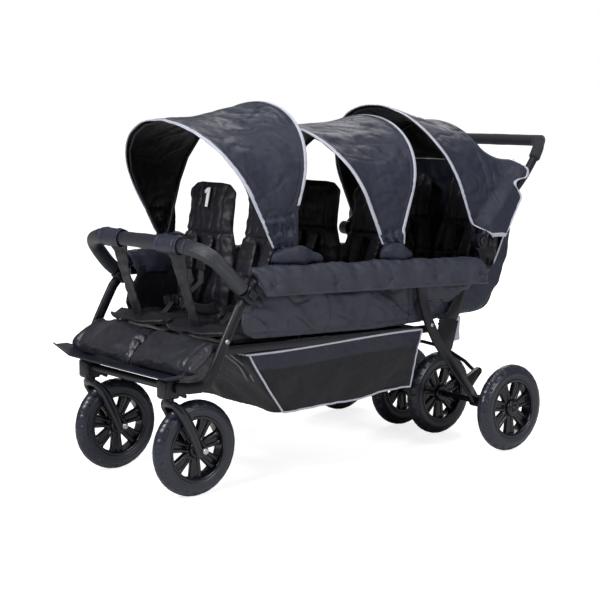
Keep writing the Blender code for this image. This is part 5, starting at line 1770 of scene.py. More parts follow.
@dataclass
class SeatKind:
    """One padded bucket, made once at the first row and copied to the other five places."""

    repeats: Repeats
    half: float = 0.130
    head_half: float = 0.120
    origin: tuple[float, float] = (-0.310, 0.4347)
    first_of_back: int = 22
    pieces: list[Piece] = field(default_factory=list)

    def profile(self) -> tuple[Array, Array, Array, Array]:
        """Stations of the bucket: top points, thickness directions, thicknesses and half widths.

        Returns:
            The four arrays.
        """
        wide, head = self.half, self.head_half
        stations = [(-0.226, 0.001, 0.55, -0.84, 0.018, wide * 0.80),
                    (-0.214, 0.010, 0.40, -0.92, 0.030, wide * 0.93),
                    (-0.190, 0.018, 0.10, -1.0, 0.042, wide), (-0.110, 0.014, 0.0, -1.0, 0.042, wide),
                    (-0.020, 0.012, 0.35, -0.94, 0.042, wide),
                    (0.002, 0.080, 0.99, -0.12, 0.042, wide * 1.04),
                    (0.014, 0.165, 0.99, -0.12, 0.042, wide * 1.06),
                    (0.018, 0.215, 0.99, -0.12, 0.038, wide * 0.99),
                    (0.021, 0.255, 0.99, -0.12, 0.034, head * 0.97),
                    (0.026, 0.300, 0.99, -0.12, 0.034, head * 0.95),
                    (0.034, 0.356, 0.97, -0.22, 0.032, head * 0.95)]
        turn = np.radians([30.0, 50.0, 68.0, 82.0])
        stations += [(0.034 + 0.010 * math.sin(a), 0.356 + 0.036 * math.sin(a), 0.95, -0.30,
                      0.014 + 0.018 * math.cos(a), head * 0.95 - 0.036 + 0.036 * math.cos(a)) for a in turn]
        fine = even_path(stations, 46)
        y0, z0 = self.origin
        return (fine[:, :2] + (y0, z0), fine[:, 2:4], fine[:, 4], fine[:, 5])

    def build(self) -> list[Piece]:
        """Make the swelled bucket, its harness, the head's stitches and the front flap.

        Returns:
            The pieces, the bucket first.
        """
        top, direction, thickness, half = self.profile()
        direction = unit(direction)
        middle = top + direction * (thickness / 2)[:, None]
        bucket = pad_shell("seat_bucket", SEAT_CLOTH, middle, half * 1.94, thickness * 0.78, direction)
        swell(bucket, 0.0065)
        shape_points(bucket, self.sew)
        self.pieces = [bucket, *self.harness(), self.head_seams(), self.apron()]
        return self.pieces

    def sew(self, points: Array, normals: Array) -> Array:
        """Press the sewn channels, the bolster seams and the creases into the bucket.

        Args:
            points: The bucket's points.
            normals: Their normals.

        Returns:
            The moved points.
        """
        y0, z0 = self.origin
        x, y, z = points[:, 0], points[:, 1] - y0, points[:, 2] - z0
        facing = smooth_step(normals[:, 2] * (z < 0.06) - normals[:, 1] * (z >= 0.03), 0.1, 0.5)
        on_back = smooth_step(z, 0.045, 0.08)
        sink = np.zeros(len(points))
        for place in (0.072, -0.072):
            sink += 0.0042 * ridge(x, place, 0.0050)
        head = smooth_step(z, 0.235, 0.262)
        for place in (0.030, -0.030):
            sink += 0.0030 * head * ridge(x, place, 0.0042)
        sink += 0.0048 * ridge(z, 0.238, 0.006) * on_back
        for row, place in enumerate((-0.150, -0.085)):
            sink += 0.0034 * ridge(y + 0.010 * np.cos(x * 18.0 + row), place, 0.005) * (1 - on_back)
        sink += 0.0070 * ridge(np.hypot(y + 0.012, z - 0.026), 0.0, 0.016)
        sink += 0.0030 * ridge(z - 0.150 + 0.12 * np.abs(x), 0.0, 0.0055) * on_back
        bolster = smooth_step(np.abs(x), 0.082, 0.112) * smooth_step(0.225 - z, 0.0, 0.05)
        folds = ripple(points, 9.0, 5, (1.0, 0.7, 1.3)) * 0.0038 + ripple(points, 26.0, 6) * 0.0011
        lift = folds + 0.0050 * bolster - sink
        return points + normals * (lift * facing)[:, None]

    def apron(self) -> Piece:
        """The thin flap with a sewn, curved edge at the seat's front, over the leg rest.

        Returns:
            The flap.
        """
        y0, z0 = self.origin
        across = np.linspace(-1.0, 1.0, 90)[None, :]
        share = np.linspace(0.0, 1.0, 46)[:, None]
        front = -0.276 + 0.054 * np.abs(across) ** 2.4
        y = -0.188 + (front + 0.188) * share
        z = 0.0175 - 0.0110 * smooth_step(share, 0.0, 0.7) + 0.0080 * smooth_step(share, 0.78, 1.0)
        x = across * (self.half + 0.004) * (1.0 - 0.03 * share)
        grid = np.stack([x + 0 * y, y0 + y, z0 + z + 0 * y], axis=2)
        grid[..., 2] += ripple(grid, 13.0, 17, (1.0, 0.8, 1.0)) * 0.0040 * share
        edge = np.minimum((1.0 - np.abs(across)) * self.half, (1.0 - share) * 0.08)
        half = 0.0040 * np.sqrt(np.clip(edge / 0.006, 0.0, 1.0)) - 0.0016 * ridge(edge, 0.0125, 0.0022)
        inside = np.zeros(half.shape)
        inside[1:-1, 1:-1] = 1.0
        offset = surface_normals(grid) * (half * inside)[..., None]
        return Draft().grid(grid + offset, flip=True).grid(grid - offset).piece("seat_apron", [SEAT_CLOTH])

    def on_front(self, x: Array, height: Array, out: float) -> Array:
        """Points a little in front of the back's face, at given X and height above the seat's crease.

        Args:
            x: Places along X.
            height: Heights above the crease.
            out: How far in front.

        Returns:
            The points.
        """
        back = self.profile()[0][self.first_of_back:]
        y = np.interp(height, back[:, 1] - self.origin[1], back[:, 0])
        crown = 0.006 * (1.0 - (x / self.half) ** 2)
        return np.column_stack([x, y - out - crown, self.origin[1] + height])

    def head_seams(self) -> Piece:
        """Stitches down the head pad, along its two channels and its middle.

        Returns:
            The stitches.
        """
        height = np.linspace(0.250, 0.368, 40)
        lines = [self.on_front(np.full(40, x), height, 0.0012) for x in (0.030, -0.030, 0.0)]
        return self.repeats.stitch("seat_head_stitches", lines, finish=SEAT_THREAD)

    def harness(self) -> list[Piece]:
        """Two shoulder belts with soft pads, a lap belt on each side, a crotch belt and the buckle.

        Returns:
            The belts, their pads and the buckle.
        """
        y0, z0 = self.origin
        made = []
        for side in Side:
            height = np.linspace(0.232, 0.055, 30)
            x = side.value * np.interp(height, [0.05, 0.12, 0.232], [0.012, 0.030, 0.040])
            belt = self.on_front(x, height, 0.0060)
            belt[:, 1] -= 0.016 * np.sin(np.linspace(0.0, PI, 30)) ** 2
            belt[-8:, 1] -= np.linspace(0.0, 0.050, 8)
            made.append(ribbon("seat_shoulder_belt_" + side.word, BELT, belt, (1.0, 0.0, 0.0), 0.025, 0.0020))
            pad = even_path(belt[1:17], 26)
            pad[:, 1] -= 0.0012
            cover = ribbon("seat_belt_pad_" + side.word, SEAT_CLOTH, pad, (1.0, 0.0, 0.0), 0.044, 0.012)
            made.append(shape_points(cover, self.crumple))
            lap = even_path([(side.value * x, y0 + y, z0 + z) for x, y, z in
                             ((0.118, -0.030, 0.036), (0.100, -0.058, 0.030), (0.060, -0.082, 0.040),
                              (0.022, -0.088, 0.046))], 22)
            made.append(ribbon("seat_lap_belt_" + side.word, BELT, lap, (0.0, -0.25, 1.0), 0.025, 0.0020))
        crotch = even_path([(0.0, y0 + y, z0 + z) for y, z in
                            ((-0.135, 0.012), (-0.118, 0.026), (-0.100, 0.044))], 12)
        made.append(ribbon("seat_crotch_belt", BELT, crotch, (1.0, 0.0, 0.0), 0.025, 0.0022))
        made.append(self.buckle((0.0, y0 - 0.092, z0 + 0.048)))
        return made

    @staticmethod
    def crumple(points: Array, normals: Array) -> Array:
        """Small creases of a soft belt pad."""
        return points + normals * (ripple(points, 38.0, 9) * 0.0014)[:, None]

    @staticmethod
    def buckle(centre: Point) -> Piece:
        """The harness buckle: a rounded tongue plate with a round press button.

        Args:
            centre: Its middle.

        Returns:
            The buckle.
        """
        path = np.array([(0.0, 0.004 * t, 0.034 * (t - 0.5)) for t in np.linspace(0.0, 1.0, 14)]) + centre
        share = np.linspace(-1.0, 1.0, 14)
        round_off = (1.0 - share ** 6) ** 0.5
        sections = np.array([ellipse_section(0.040 * w + 0.002, 0.013 * w + 0.001, 20, 0.6)
                             for w in round_off])
        draft = Draft().sweep(path, sections, hint=(0.0, 1.0, 0.0))
        button = np.array([(0.0, -0.006 - 0.0035 * t, 0.0) for t in (0.0, 0.8, 1.0)]) + centre
        caps = np.array([ellipse_section(0.017 * w, 0.017 * w, 20) for w in (1.0, 1.0, 0.86)])
        draft.sweep(button, caps, hint=(1.0, 0.0, 0.0))
        return draft.piece("seat_buckle", [BLACK_PLASTIC], sharp_deg=50.0)

    def number_one(self) -> Piece:
        """The plain slanted figure 1 printed near the top of the head pad.

        Returns:
            The figure.
        """
        outline = [(-0.0020, 0.370), (0.0100, 0.370), (0.0070, 0.314), (-0.0050, 0.314), (-0.0026, 0.356),
                   (-0.0130, 0.352), (-0.0130, 0.361)]
        x, height = np.array(outline).T
        front = self.on_front(0.010 + x, height, 0.0052)
        bm = bmesh.new()
        bm.faces.new([bm.verts.new(point) for point in front])
        bmesh.ops.triangulate(bm, faces=bm.faces)
        bmesh.ops.subdivide_edges(bm, edges=bm.edges, cuts=3, use_grid_fill=True)
        mesh = bpy.data.meshes.new("seat_2_figure")
        bm.to_mesh(mesh)
        bm.free()
        mesh.materials.append(PRINT_WHITE.material())
        obj = add_object("seat_2_figure", mesh)
        solid = obj.modifiers.new("print", "SOLIDIFY")
        solid.thickness = 0.0016
        solid.offset = 0.0
        return apply_modifiers(obj)


@dataclass
class Seats:
    """The six seats: three rows of two, odd numbers on the left side."""

    repeats: Repeats
    seat_x: float = 0.141
    pitch: float = 0.400
    lifts: Point = (0.4347, 0.4260, 0.4416)

    def build(self) -> None:
        """Copy the finished bucket, with its harness, to all six places."""
        kind = SeatKind(self.repeats)
        master = kind.build()
        figure = kind.number_one()
        for row in range(3):
            for side in Side:
                number = 2 * row + (1 if side is Side.LEFT else 2)
                shift = Matrix.Translation((side.value * self.seat_x, row * self.pitch,
                                            self.lifts[row] - self.lifts[0]))
                for source in master + ([figure] if number == 2 else []):
                    mesh = source.data.copy()
                    mesh.transform(shift)
                    name = source.name.replace("seat_", "seat_%d_" % number)
                    copy = add_object("seat_2_number" if source is figure else name, mesh)
                    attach(copy, "frame")
                    if source.get("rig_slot"):
                        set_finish(copy, source["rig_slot"])
                    if source is master[0]:
                        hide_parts("seat_%d" % number)
        for source in master + [figure]:
            bpy.data.objects.remove(source)
        LOG.info("six seats with harnesses")


@dataclass
class LegRest:
    """Two puffed calf pads between the front seats and the footplate."""

    top: tuple[float, float] = (-0.546, 0.4130)
    bottom: tuple[float, float] = (-0.652, 0.3385)
    reach: float = 0.290

    def build(self) -> None:
        """Make the two swelled pads, folded softly where they meet."""
        top, bottom = np.array(self.top), np.array(self.bottom)
        out = np.array([-0.58, 0.81])
        for side in Side:
            x = np.linspace(0.003, self.reach - 0.003, 44)
            share = (x - x[0]) / (x[-1] - x[0])
            puff = 0.018 + 0.044 * (np.sin(PI * np.clip(share, 0.0, 1.0)) ** 0.30)
            rows = []
            for place, depth in zip(x, puff):
                tip = 0.022 * max(0.0, place - 0.233) / 0.091
                ring = []
                for angle in whole_turn(48):
                    along = 0.5 - 0.5 * math.copysign(abs(math.cos(angle)) ** 0.5, math.cos(angle))
                    lift = math.sin(angle)
                    height = depth * (0.62 if lift > 0 else 0.10) * math.copysign(abs(lift) ** 0.6, lift)
                    point = top + (bottom - top) * along + out * height
                    ring.append((side.value * place * (1.0 + 0.045 * along), point[0],
                                 point[1] + tip * along))
                rows.append(ring)
            pad = Draft().tube(np.array(rows)).piece("leg_rest_pad_" + side.word, [LEG_CLOTH])
            swell(pad, 0.006)
            shape_points(pad, self.fold)
            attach(pad, "frame")
        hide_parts("leg_rest")
        LOG.info("leg rest")

    def fold(self, points: Array, normals: Array) -> Array:
        """Pull the cloth in at the ends and fold it softly; keep it on the footplate and off the seats.

        Args:
            points: The pad's points.
            normals: Their normals.

        Returns:
            The moved points.
        """
        x = np.abs(points[:, 0])
        pinch = ridge(x, self.reach - 0.030, 0.006) * 0.0060
        folds = ripple(points, 6.0, 14, (1.0, 0.7, 0.7)) * 0.0044 + ripple(points, 24.0, 15) * 0.0008
        near_middle = smooth_step(0.05 - x, 0.0, 0.05)
        folds += near_middle * 0.0030 * ripple(points, 30.0, 16, (0.5, 1.0, 1.0))
        front = smooth_step(normals[:, 2] - normals[:, 1], 0.0, 0.6)
        moved = points + normals * ((folds - pinch) * front)[:, None]
        floor = 0.3372 + 0.024 * np.maximum(0.0, x / 0.324 - 0.72) / 0.28
        moved[:, 2] = np.maximum(moved[:, 2], floor)
        return moved


# Front bar, handle and their sleeves

@dataclass
class FrontBar:
    """The plug-in bar with its ribbed sleeve and the two strap loops."""

    clamp: Point = (0.306, -0.478, 0.548)
    tilt_deg: float = -42.0
    front_y: float = -0.606
    top_z: float = 0.678
    sleeve_radius: float = 0.0200
    strap_x: float = 0.141
    ribs: int = 34
    steps: int = 240

    def path(self, start_inside: float) -> list[Point]:
        """The bar's middle line from the left clamp to the right clamp.

        Args:
            start_inside: Distance from the clamp to the bar's end.

        Returns:
            The line's points.
        """
        tilt = math.radians(self.tilt_deg)
        direction = np.array([0.0, -math.cos(tilt), -math.sin(tilt)])
        centre = np.array(self.clamp)
        left = [tuple(centre + direction * start_inside), tuple(centre + direction * 0.060),
                (0.299, -0.562, 0.633), (0.280, -0.584, 0.657), (0.250, -0.596, 0.669),
                (0.215, self.front_y + 0.003, self.top_z - 0.003), (0.175, self.front_y, self.top_z)]
        return left + [(-x, y, z) for x, y, z in reversed(left)]

    def build(self) -> None:
        """Finish the CAD bar, and make the ribbed sleeve and the straps."""
        refined("bumper_bar", FRAME_COAT, WORN_COAT)
        path = even_path(self.path(0.024), self.steps)
        angle = whole_turn(180)
        rib = 0.0011 * np.abs(np.sin(angle * self.ribs / 2)) ** 0.8
        step = np.arange(self.steps)
        ends = np.minimum(1.0, np.minimum(step, step[::-1]) / 3.0 + 0.72)
        lumps = ripple(path, 12.0, 21) * 0.0007
        sections = np.array([np.column_stack([np.cos(angle), np.sin(angle)])
                             * ((self.sleeve_radius - 0.0007 + rib)[:, None] * end + lump)
                             for end, lump in zip(ends, lumps)])
        sleeve = Draft().sweep(path, sections).piece("bumper_sleeve_ribbed", [SLEEVE_TEXTILE])
        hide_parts("bumper_sleeve")
        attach(sleeve, "front_bar")
        for side in Side:
            self.strap(side)
        LOG.info("front bar")

    def strap(self, side: Side) -> None:
        """A wide wrinkled loop round the sleeve with its tail down to the seat's front.

        Args:
            side: Which side.
        """
        x = side.value * self.strap_x
        radius = self.sleeve_radius + 0.0036
        rows = []
        width, thick = 0.100, 0.0044
        for index, angle in enumerate(np.radians(range(-60, 291, 10))):
            away = np.array([0.0, math.cos(angle), math.sin(angle)])
            section = ellipse_section(width, thick, 60, 0.5)
            section[:, 0] *= 1.0 - 0.30 * smooth_step(np.array(float(index)), 26.0, 35.0)
            pucker = 0.0012 * np.sin(section[:, 0] * 330.0 + index * 0.16) * np.sin(index * 0.31 + 1.0)
            pucker += 0.0008 * np.sin(section[:, 0] * 610.0 - index * 0.23)
            pucker *= np.abs(section[:, 0]) < width * 0.42
            rows.append((x, self.front_y, self.top_z) + section[:, :1] * (1.0, 0.0, 0.0)
                        + (radius + section[:, 1:] + pucker[:, None]) * away)
        loop_piece = Draft().tube(np.array(rows)).piece("crotch_strap_%s_loop" % side.word, [COVER_CLOTH])
        tail_path = even_path([(x, -0.590, 0.656), (x, -0.583, 0.630), (x, -0.570, 0.585),
                               (x, -0.550, 0.520), (x, -0.5345, 0.475), (x, -0.5290, 0.4505)], 60)
        widths = np.interp(np.linspace(0, 1, 60), [0.0, 0.10, 0.35, 1.0], [0.088, 0.066, 0.048, 0.046])
        rows = []
        for place, wide in zip(tail_path, widths):
            section = ellipse_section(wide, 0.0052, 26, 0.5)
            rows.append(place + section[:, :1] * (1.0, 0.0, 0.0) + section[:, 1:] * (0.0, 0.95, 0.3))
        rows = np.array(rows)
        rows[..., 1] += ripple(rows, 22.0, 25, (1.2, 0.6, 0.9)) * 0.0022
        tail = Draft().tube(rows).piece("crotch_strap_%s_tail" % side.word, [SEAT_CLOTH])
        for piece in (loop_piece, tail):
            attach(piece, "front_bar")
        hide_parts("crotch_strap_" + side.word)


@dataclass
class Handle:
    """The bent push handle with round hubs, its foam grip and release buttons."""

    knuckle: tuple[float, float] = KNUCKLE
    x: float = 0.3025
    radius: float = 0.0125
    grip_radius: float = 0.0175
    grip_start: tuple[float, float] = (0.647, 0.8785)

    def path(self) -> list[Point]:
        """The handle's middle line from the left hub over the cross part to the right hub.

        Returns:
            The line's points.
        """
        ky, kz = self.knuckle
        left = [(self.x, ky, kz), (self.x, 0.500, 0.7275), (self.x - 0.001, 0.606, 0.830),
                (self.x - 0.00325, *self.grip_start), (self.x - 0.0045, 0.6535, 0.8865),
                (self.x - 0.012, 0.676, 0.914), (self.x - 0.030, 0.688, 0.928),
                (self.x - 0.055, 0.692, 0.932)]
        return left + [(-x, y, z) for x, y, z in reversed(left)]

    def build(self) -> None:
        """Finish the CAD handle and buttons, and make the foam grip over it."""
        refined("push_handle", FRAME_COAT, WORN_COAT)
        path = even_path(self.path()[3:-3], 200)
        share = np.linspace(0.0, 1.0, 200)
        ends = 1.0 - 0.16 * (ridge(share, 0.0, 0.003) + ridge(share, 1.0, 0.003))
        widths = 2 * (self.grip_radius * ends + ripple(path, 10.0, 31) * 0.0004)
        sections = np.array([ellipse_section(width, width, 44) for width in widths])
        grip = Draft().sweep(path, sections).piece("handle_grip_foam", [GRIP_FOAM])
        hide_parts("handle_grip")
        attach(grip, "handle")
        for side in Side:
            refined("handle_button_" + side.word, BLACK_PLASTIC, WORN_PLASTIC)
        LOG.info("handle")


# Side panels, basket and rear tub

def rail_z(y: Array | float) -> Array | float:
    """Height of the upper rail's axis at a place along Y."""
    return 0.5865 + (y + 0.470) / 0.926 * (0.551 - 0.5865)


def lower_rail_z(y: Array | float) -> Array | float:
    """Height of the lower rail's axis at a place along Y."""
    return 0.4035 + (y + 0.566) / 0.780 * (0.3865 - 0.4035)


@dataclass
class SidePanel:
    """The padded roll over the upper rail and the quilted panel that hangs inside it."""

    side: Side
    repeats: Repeats
    rail_x: float = 0.300
    snaps: tuple[float, ...] = (-0.404, -0.181, 0.021, 0.199, 0.385)
    columns: int = 190
    drop: float = 0.1612

    def build(self) -> None:
        """Make the roll, the panel, the snaps and the seams."""
        roll = self.roll()
        panel = self.panel()
        for piece in (roll, panel):
            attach(piece, "frame")
        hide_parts("side_panel_" + self.side.word)
        LOG.info("side panel %s", self.side.word)

    def roll(self) -> Piece:
        """The rail cover: a thick skin over the rail, open below.

        Returns:
            The rail cover.
        """
        outer = even_path([(-0.0262, -0.034), (-0.0264, -0.004), (-0.0236, 0.0205), (-0.0110, 0.0358),
                           (0.0010, 0.0374), (0.0130, 0.0350), (0.0255, 0.0225), (0.0308, 0.003),
                           (0.0312, -0.018), (0.0296, -0.032), (0.0306, -0.0425)], 64)
        step = unit(np.gradient(outer, axis=0))
        outward = np.column_stack([-step[:, 1], step[:, 0]])
        inner = outer - outward * 0.0072
        loop = np.vstack([outer, inner[::-1]])
        away = np.vstack([outward, -outward[::-1]])
        is_outer = np.concatenate([np.ones(64), np.zeros(64)])
        is_outer[[0, 63]] = 0.5
        along = np.linspace(0.0, 1.0, self.columns)
        rows = []
        for share in along:
            y_front = np.interp(loop[:, 1], [-0.040, 0.0, 0.036], [-0.430, -0.450, -0.466])
            y_rear = np.interp(loop[:, 1], [-0.040, 0.0, 0.036], [0.420, 0.418, 0.404])
            y = y_front + (y_rear - y_front) * share
            rows.append(np.column_stack([self.rail_x + loop[:, 0], y, rail_z(y) + loop[:, 1]]))
        rows = np.array(rows)
        weight = is_outer[None, :] * np.ones((self.columns, 1))
        lift = ripple(rows, 7.0, 101, (0.4, 1.0, 0.6)) * 0.0034
        upper = smooth_step(loop[:, 1], 0.010, 0.030)[None, :]
        lift = lift + upper * ripple(rows, 26.0, 102, (0.6, 1.2, 0.6)) * 0.0015
        y = rows[..., 1]
        hang = (loop[:, 1] + 0.012)[None, :] * np.ones_like(y)
        outside = (loop[:, 0] > 0.018)[None, :] * np.ones_like(y)
        for snap in self.snaps:
            from_snap = np.hypot(y - snap, hang)
            lift -= outside * 0.0062 * ridge(from_snap, 0.0, 0.013)
            turn = np.arctan2(hang, y - snap)
            pleats = np.cos(turn * 5.0 + snap * 40.0) * np.exp(-(from_snap - 0.016) ** 2 / 0.00025)
            lift += outside * 0.0009 * pleats
        lift += outside * 0.0022 * ridge(loop[:, 1][None, :] * np.ones_like(y), -0.0375, 0.0035)
        ends = np.minimum(along, along[::-1])[:, None]
        lift -= 0.004 * ridge(ends, 0.0, 0.006)
        rows[..., 0] += away[None, :, 0] * lift * weight
        rows[..., 2] += away[None, :, 1] * lift * weight
        rows[..., 0] *= self.side.value
        obj = Draft().tube(rows).piece("rail_cover_" + self.side.word, [COVER_CLOTH])
        outer_rows = rows[:, :64]
        normals = np.array([away[:64, 0] * self.side.value, np.zeros(64), away[:64, 1]]).T
        low = int(np.argmin(np.abs(outer[:, 1] + 0.033) + (outer[:, 0] < 0)))
        hem = outer_rows[:, low] + normals[low] * 0.0004
        seam = self.repeats.stitch("rail_cover_stitches_" + self.side.word, [even_path(hem, 300, False)])
        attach(seam, "frame")
        column = int(np.argmin(np.abs(outer[:, 1] + 0.012) + (outer[:, 0] < 0)))
        line = outer_rows[:, column]
        places = [line[int(np.argmin(np.abs(line[:, 1] - snap)))] for snap in self.snaps]
        self.repeats.fasten("rail_cover_snaps_" + self.side.word, places,
                            [normals[column]] * len(places), 0.0062, SNAP_METAL, "frame")
        return obj

    @staticmethod
    def limits(dz: float) -> tuple[float, float]:
        """Front and rear limit in Y of the hanging panel at a height below the rail.

        Args:
            dz: Height above the rail's axis, below zero.

        Returns:
            The front and rear limits.
        """
        front = np.interp(-dz, [0.0, 0.040, 0.060, 0.085, 0.120, 0.145, 0.160],
                          [-0.440, -0.440, -0.452, -0.474, -0.480, -0.470, -0.440])
        rear = np.interp(-dz, [0.0, 0.040, 0.060, 0.120, 0.160], [0.418, 0.410, 0.392, 0.270, 0.186])
        return float(front), float(rear)

    def panel(self) -> Piece:
        """The quilted panel, puffed between its seams.

        Returns:
            The panel.
        """
        depth = np.concatenate([np.linspace(0.012, 0.150, 46), [0.154, 0.157, 0.1595, 0.161]])
        along = np.concatenate([[0.0, 0.003, 0.008], np.linspace(0.016, 0.984, 150), [0.992, 0.997, 1.0]])
        face = np.zeros((len(depth), len(along), 3))
        for row, drop in enumerate(depth):
            front, rear = self.limits(-drop)
            y = front + (rear - front) * along
            taper = 0.010 * np.maximum(0.0, y / 0.186) * (drop > 0.10)
            face[row] = np.column_stack([np.zeros(len(along)), y, rail_z(np.minimum(y, 0.44)) - drop + taper])
        y, z = face[..., 1], face[..., 2]
        edge = np.minimum(np.minimum(along, 1.0 - along)[None, :] * 0.84, (self.drop - depth)[:, None])
        round_off = np.sqrt(np.clip(edge / 0.010, 0.0, 1.0))
        puff = 0.0050 * smooth_step(edge, 0.0, 0.040)
        seams = 0.0042 * ridge(y + 0.186 - 0.010 * np.sin(z * 30.0), 0.0, 0.0060)
        seams += 0.0042 * ridge(y - 0.130 + 0.10 * (z - 0.48), 0.0, 0.0060)
        corner = np.hypot(y + 0.474, (z - 0.418) * 1.15)
        seams += 0.0036 * ridge(corner, 0.088, 0.0065) * (y < -0.37)
        seams += 0.0030 * ridge(edge, 0.013, 0.0030)
        slant = face.copy()
        slant[..., 1] += 0.7 * face[..., 2]
        folds = ripple(slant, 5.0, 111, (0.2, 1.0, 1.5)) * 0.0084
        folds += ripple(slant, 11.0, 112, (0.2, 0.8, 1.4)) * 0.0026
        crease = np.abs(ripple(slant, 5.0, 114, (0.2, 0.9, 1.3)))
        folds -= 0.0044 * np.maximum(0.22 - crease, 0.0) / 0.22
        lift = puff - seams + folds * smooth_step(edge, 0.0, 0.03)
        outer_x = self.rail_x - 0.0212 + 0.0042 * round_off + lift
        inner_x = self.rail_x - 0.0218 - 0.0040 * round_off + 0.2 * np.minimum(lift, 0.0)
        outer, inner = face.copy(), face.copy()
        outer[..., 0] = outer_x * self.side.value
        inner[..., 0] = inner_x * self.side.value
        draft = Draft().grid(outer, flip=self.side is Side.LEFT)
        draft.grid(inner, flip=self.side is Side.RIGHT)
        for strip in ((outer[0], inner[0]), (outer[-1], inner[-1]), (outer[:, 0], inner[:, 0]),
                      (outer[:, -1], inner[:, -1])):
            draft.grid(np.array(strip))
        obj = draft.piece("side_quilt_" + self.side.word, [COVER_CLOTH, SEAT_CLOTH])
        for polygon in obj.data.polygons:
            polygon.material_index = int(polygon.normal.x * self.side.value < 0.0)
        row = int(np.argmin(np.abs(self.drop - depth - 0.013)))
        line = outer[row, 4:-4] + (self.side.value * 0.0006, 0.0, 0.0)
        seam = self.repeats.stitch("side_quilt_stitches_" + self.side.word, [even_path(line, 240, False)])
        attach(seam, "frame")
        return obj


@dataclass
class Basket:
    """The storage basket: a sagging lofted bag of mesh and cloth with piped edges."""

    repeats: Repeats
    half_top: float = 0.2805
    half_floor: float = 0.262
    front: float = -0.462
    rear: float = 0.190
    floor_front: float = -0.325
    floor_rear: float = 0.170
    floor_z: float = 0.2015
    band: float = 0.27
    levels: int = 44
    floor_levels: int = 25

    def loop(self, share: float, count: int = 200) -> Array:
        """One level of the bag, from the rim at 0 to the floor's edge at 1.

        Args:
            share: How far down the level is.
            count: Points round the level.

        Returns:
            The level's points.
        """
        half = self.half_top + (self.half_floor - self.half_top) * share
        front = self.front + (self.floor_front - self.front) * share
        rear = self.rear + (self.floor_rear - self.rear) * share
        corner = 0.012
        corners = []
        for sx, y, turn in ((1, front, -90.0), (1, rear, 0.0), (-1, rear, 90.0), (-1, front, 180.0)):
            cy = y + corner if y == front else y - corner
            for angle in np.radians(np.linspace(turn, turn + 90.0, 7)):
                corners.append((sx * (half - corner) + corner * math.cos(angle),
                                cy + corner * math.sin(angle)))
        corners.append(corners[0])
        flat = even_path(corners, count + 1, round_off=False)[:-1]
        rim = self.rim_z(flat[:, 1])
        low = self.floor_z + 0.014 * (flat[:, 1] - self.floor_front) / (self.floor_rear - self.floor_front)
        raised = smooth_step(flat[:, 1], -0.30, 0.12) * (1.0 - smooth_step(np.array(share), 0.0, 0.35))
        flat[:, 0] += np.sign(flat[:, 0]) * 0.0085 * raised * (np.abs(flat[:, 0]) > 0.25)
        return np.column_stack([flat, rim + (low - rim) * share])

    @staticmethod
    def rim_z(y: Array | float) -> Array | float:
        """Height of the rim: it climbs from below the rail in front to over its outside behind."""
        return lower_rail_z(y) - 0.014 + 0.020 * smooth_step(np.asarray(y), -0.40, 0.15)

    def build(self) -> None:
        """Make the bag, its tapes, snaps and straps."""
        down = np.linspace(0.0, 1.0, self.levels)
        inward = np.linspace(0.0, 1.0, self.floor_levels + 1)[1:]
        levels = [self.loop(share) for share in down]
        edge = levels[-1]
        middle = np.array([0.0, (self.floor_front + self.floor_rear) / 2, self.floor_z + 0.006])
        levels += [edge + (middle - edge) * share * np.array([1.0, 0.985, 1.0]) for share in inward]
        rows = np.array(levels)
        share_down = np.concatenate([down, np.ones(self.floor_levels)])[:, None]
        out = rows[..., :2] - rows[..., :2].mean(axis=1, keepdims=True)
        out = np.sign(out) * (np.abs(out) / np.array([self.half_top, 0.33])) ** 8
        belly = np.sin(PI * share_down) * (share_down < 1.0)
        rows[..., 0] += np.clip(out[..., 0], -1, 1) * belly * 0.0070
        rows[..., 1] += np.clip(out[..., 1], -1, 1) * belly * 0.0080
        folds = ripple(rows, 6.0, 131, (1.0, 1.0, 0.6)) * 0.0042
        folds += ripple(rows, 20.0, 132, (1.0, 1.0, 0.6)) * 0.0007
        normal = surface_normals(rows)
        hold = smooth_step(share_down, 0.02, 0.10)
        rows = rows + normal * (folds * hold)[..., None]
        sag = np.concatenate([np.zeros(self.levels), inward])[:, None]
        rows[..., 2] -= 0.007 * np.sin(PI * sag * 0.5)
        bag = Draft().grid(rows[::-1], wrap=True).piece(
            "basket_bag", [BASKET_CLOTH, BASKET_MESH, BASKET_BAND], weld=False)
        self.paint(bag)
        thicken(bag, HEAVY_CLOTH)
        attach(bag, "frame")
        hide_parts("basket")
        trims = [self.pipe("basket_rim_tape", rows[1], True, TAPE, 0.0042)]
        for side in Side:
            trims += self.side_tapes(rows, side)
            self.snaps(rows, side)
        self.straps()
        LOG.info("basket")

    def paint(self, bag: Piece) -> None:
        """Mesh on the long sides and the rear below the band; cloth everywhere else.

        Args:
            bag: The bag.
        """
        for face in bag.data.polygons:
            middle, normal = face.center, face.normal
            rim = self.rim_z(middle.y)
            below_band = middle.z < rim - self.band * (rim - self.floor_z)
            upright = abs(normal.z) < 0.55
            at_front = normal.y < -0.5 and abs(normal.x) < 0.6
            if upright and not at_front:
                face.material_index = 1 if below_band else 2
            else:
                face.material_index = 0

    @staticmethod
    def pipe(name: str, path: Array, closed: bool, finish: Finish, radius: float) -> Piece:
        """A round piping along an edge of the bag.

        Args:
            name: The new piece's name.
            path: The edge's points.
            closed: Whether the edge closes on itself.
            finish: Its finish.
            radius: The piping's radius.

        Returns:
            The piping.
        """
        if closed:
            path = np.vstack([path, path[:2]])
        section = ellipse_section(2 * radius, 1.5 * radius, 10)
        obj = Draft().sweep(path, section).piece(name, [finish])
        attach(obj, "frame")
        return obj

    def side_tapes(self, rows: Array, side: Side) -> list[Piece]:
        """Piping down the two corners and along the floor's edge of a long side.

        Args:
            rows: The bag's points, level by level.
            side: Which side.

        Returns:
            The piping.
        """
        columns = rows.shape[1]
        lowest = self.levels - 1

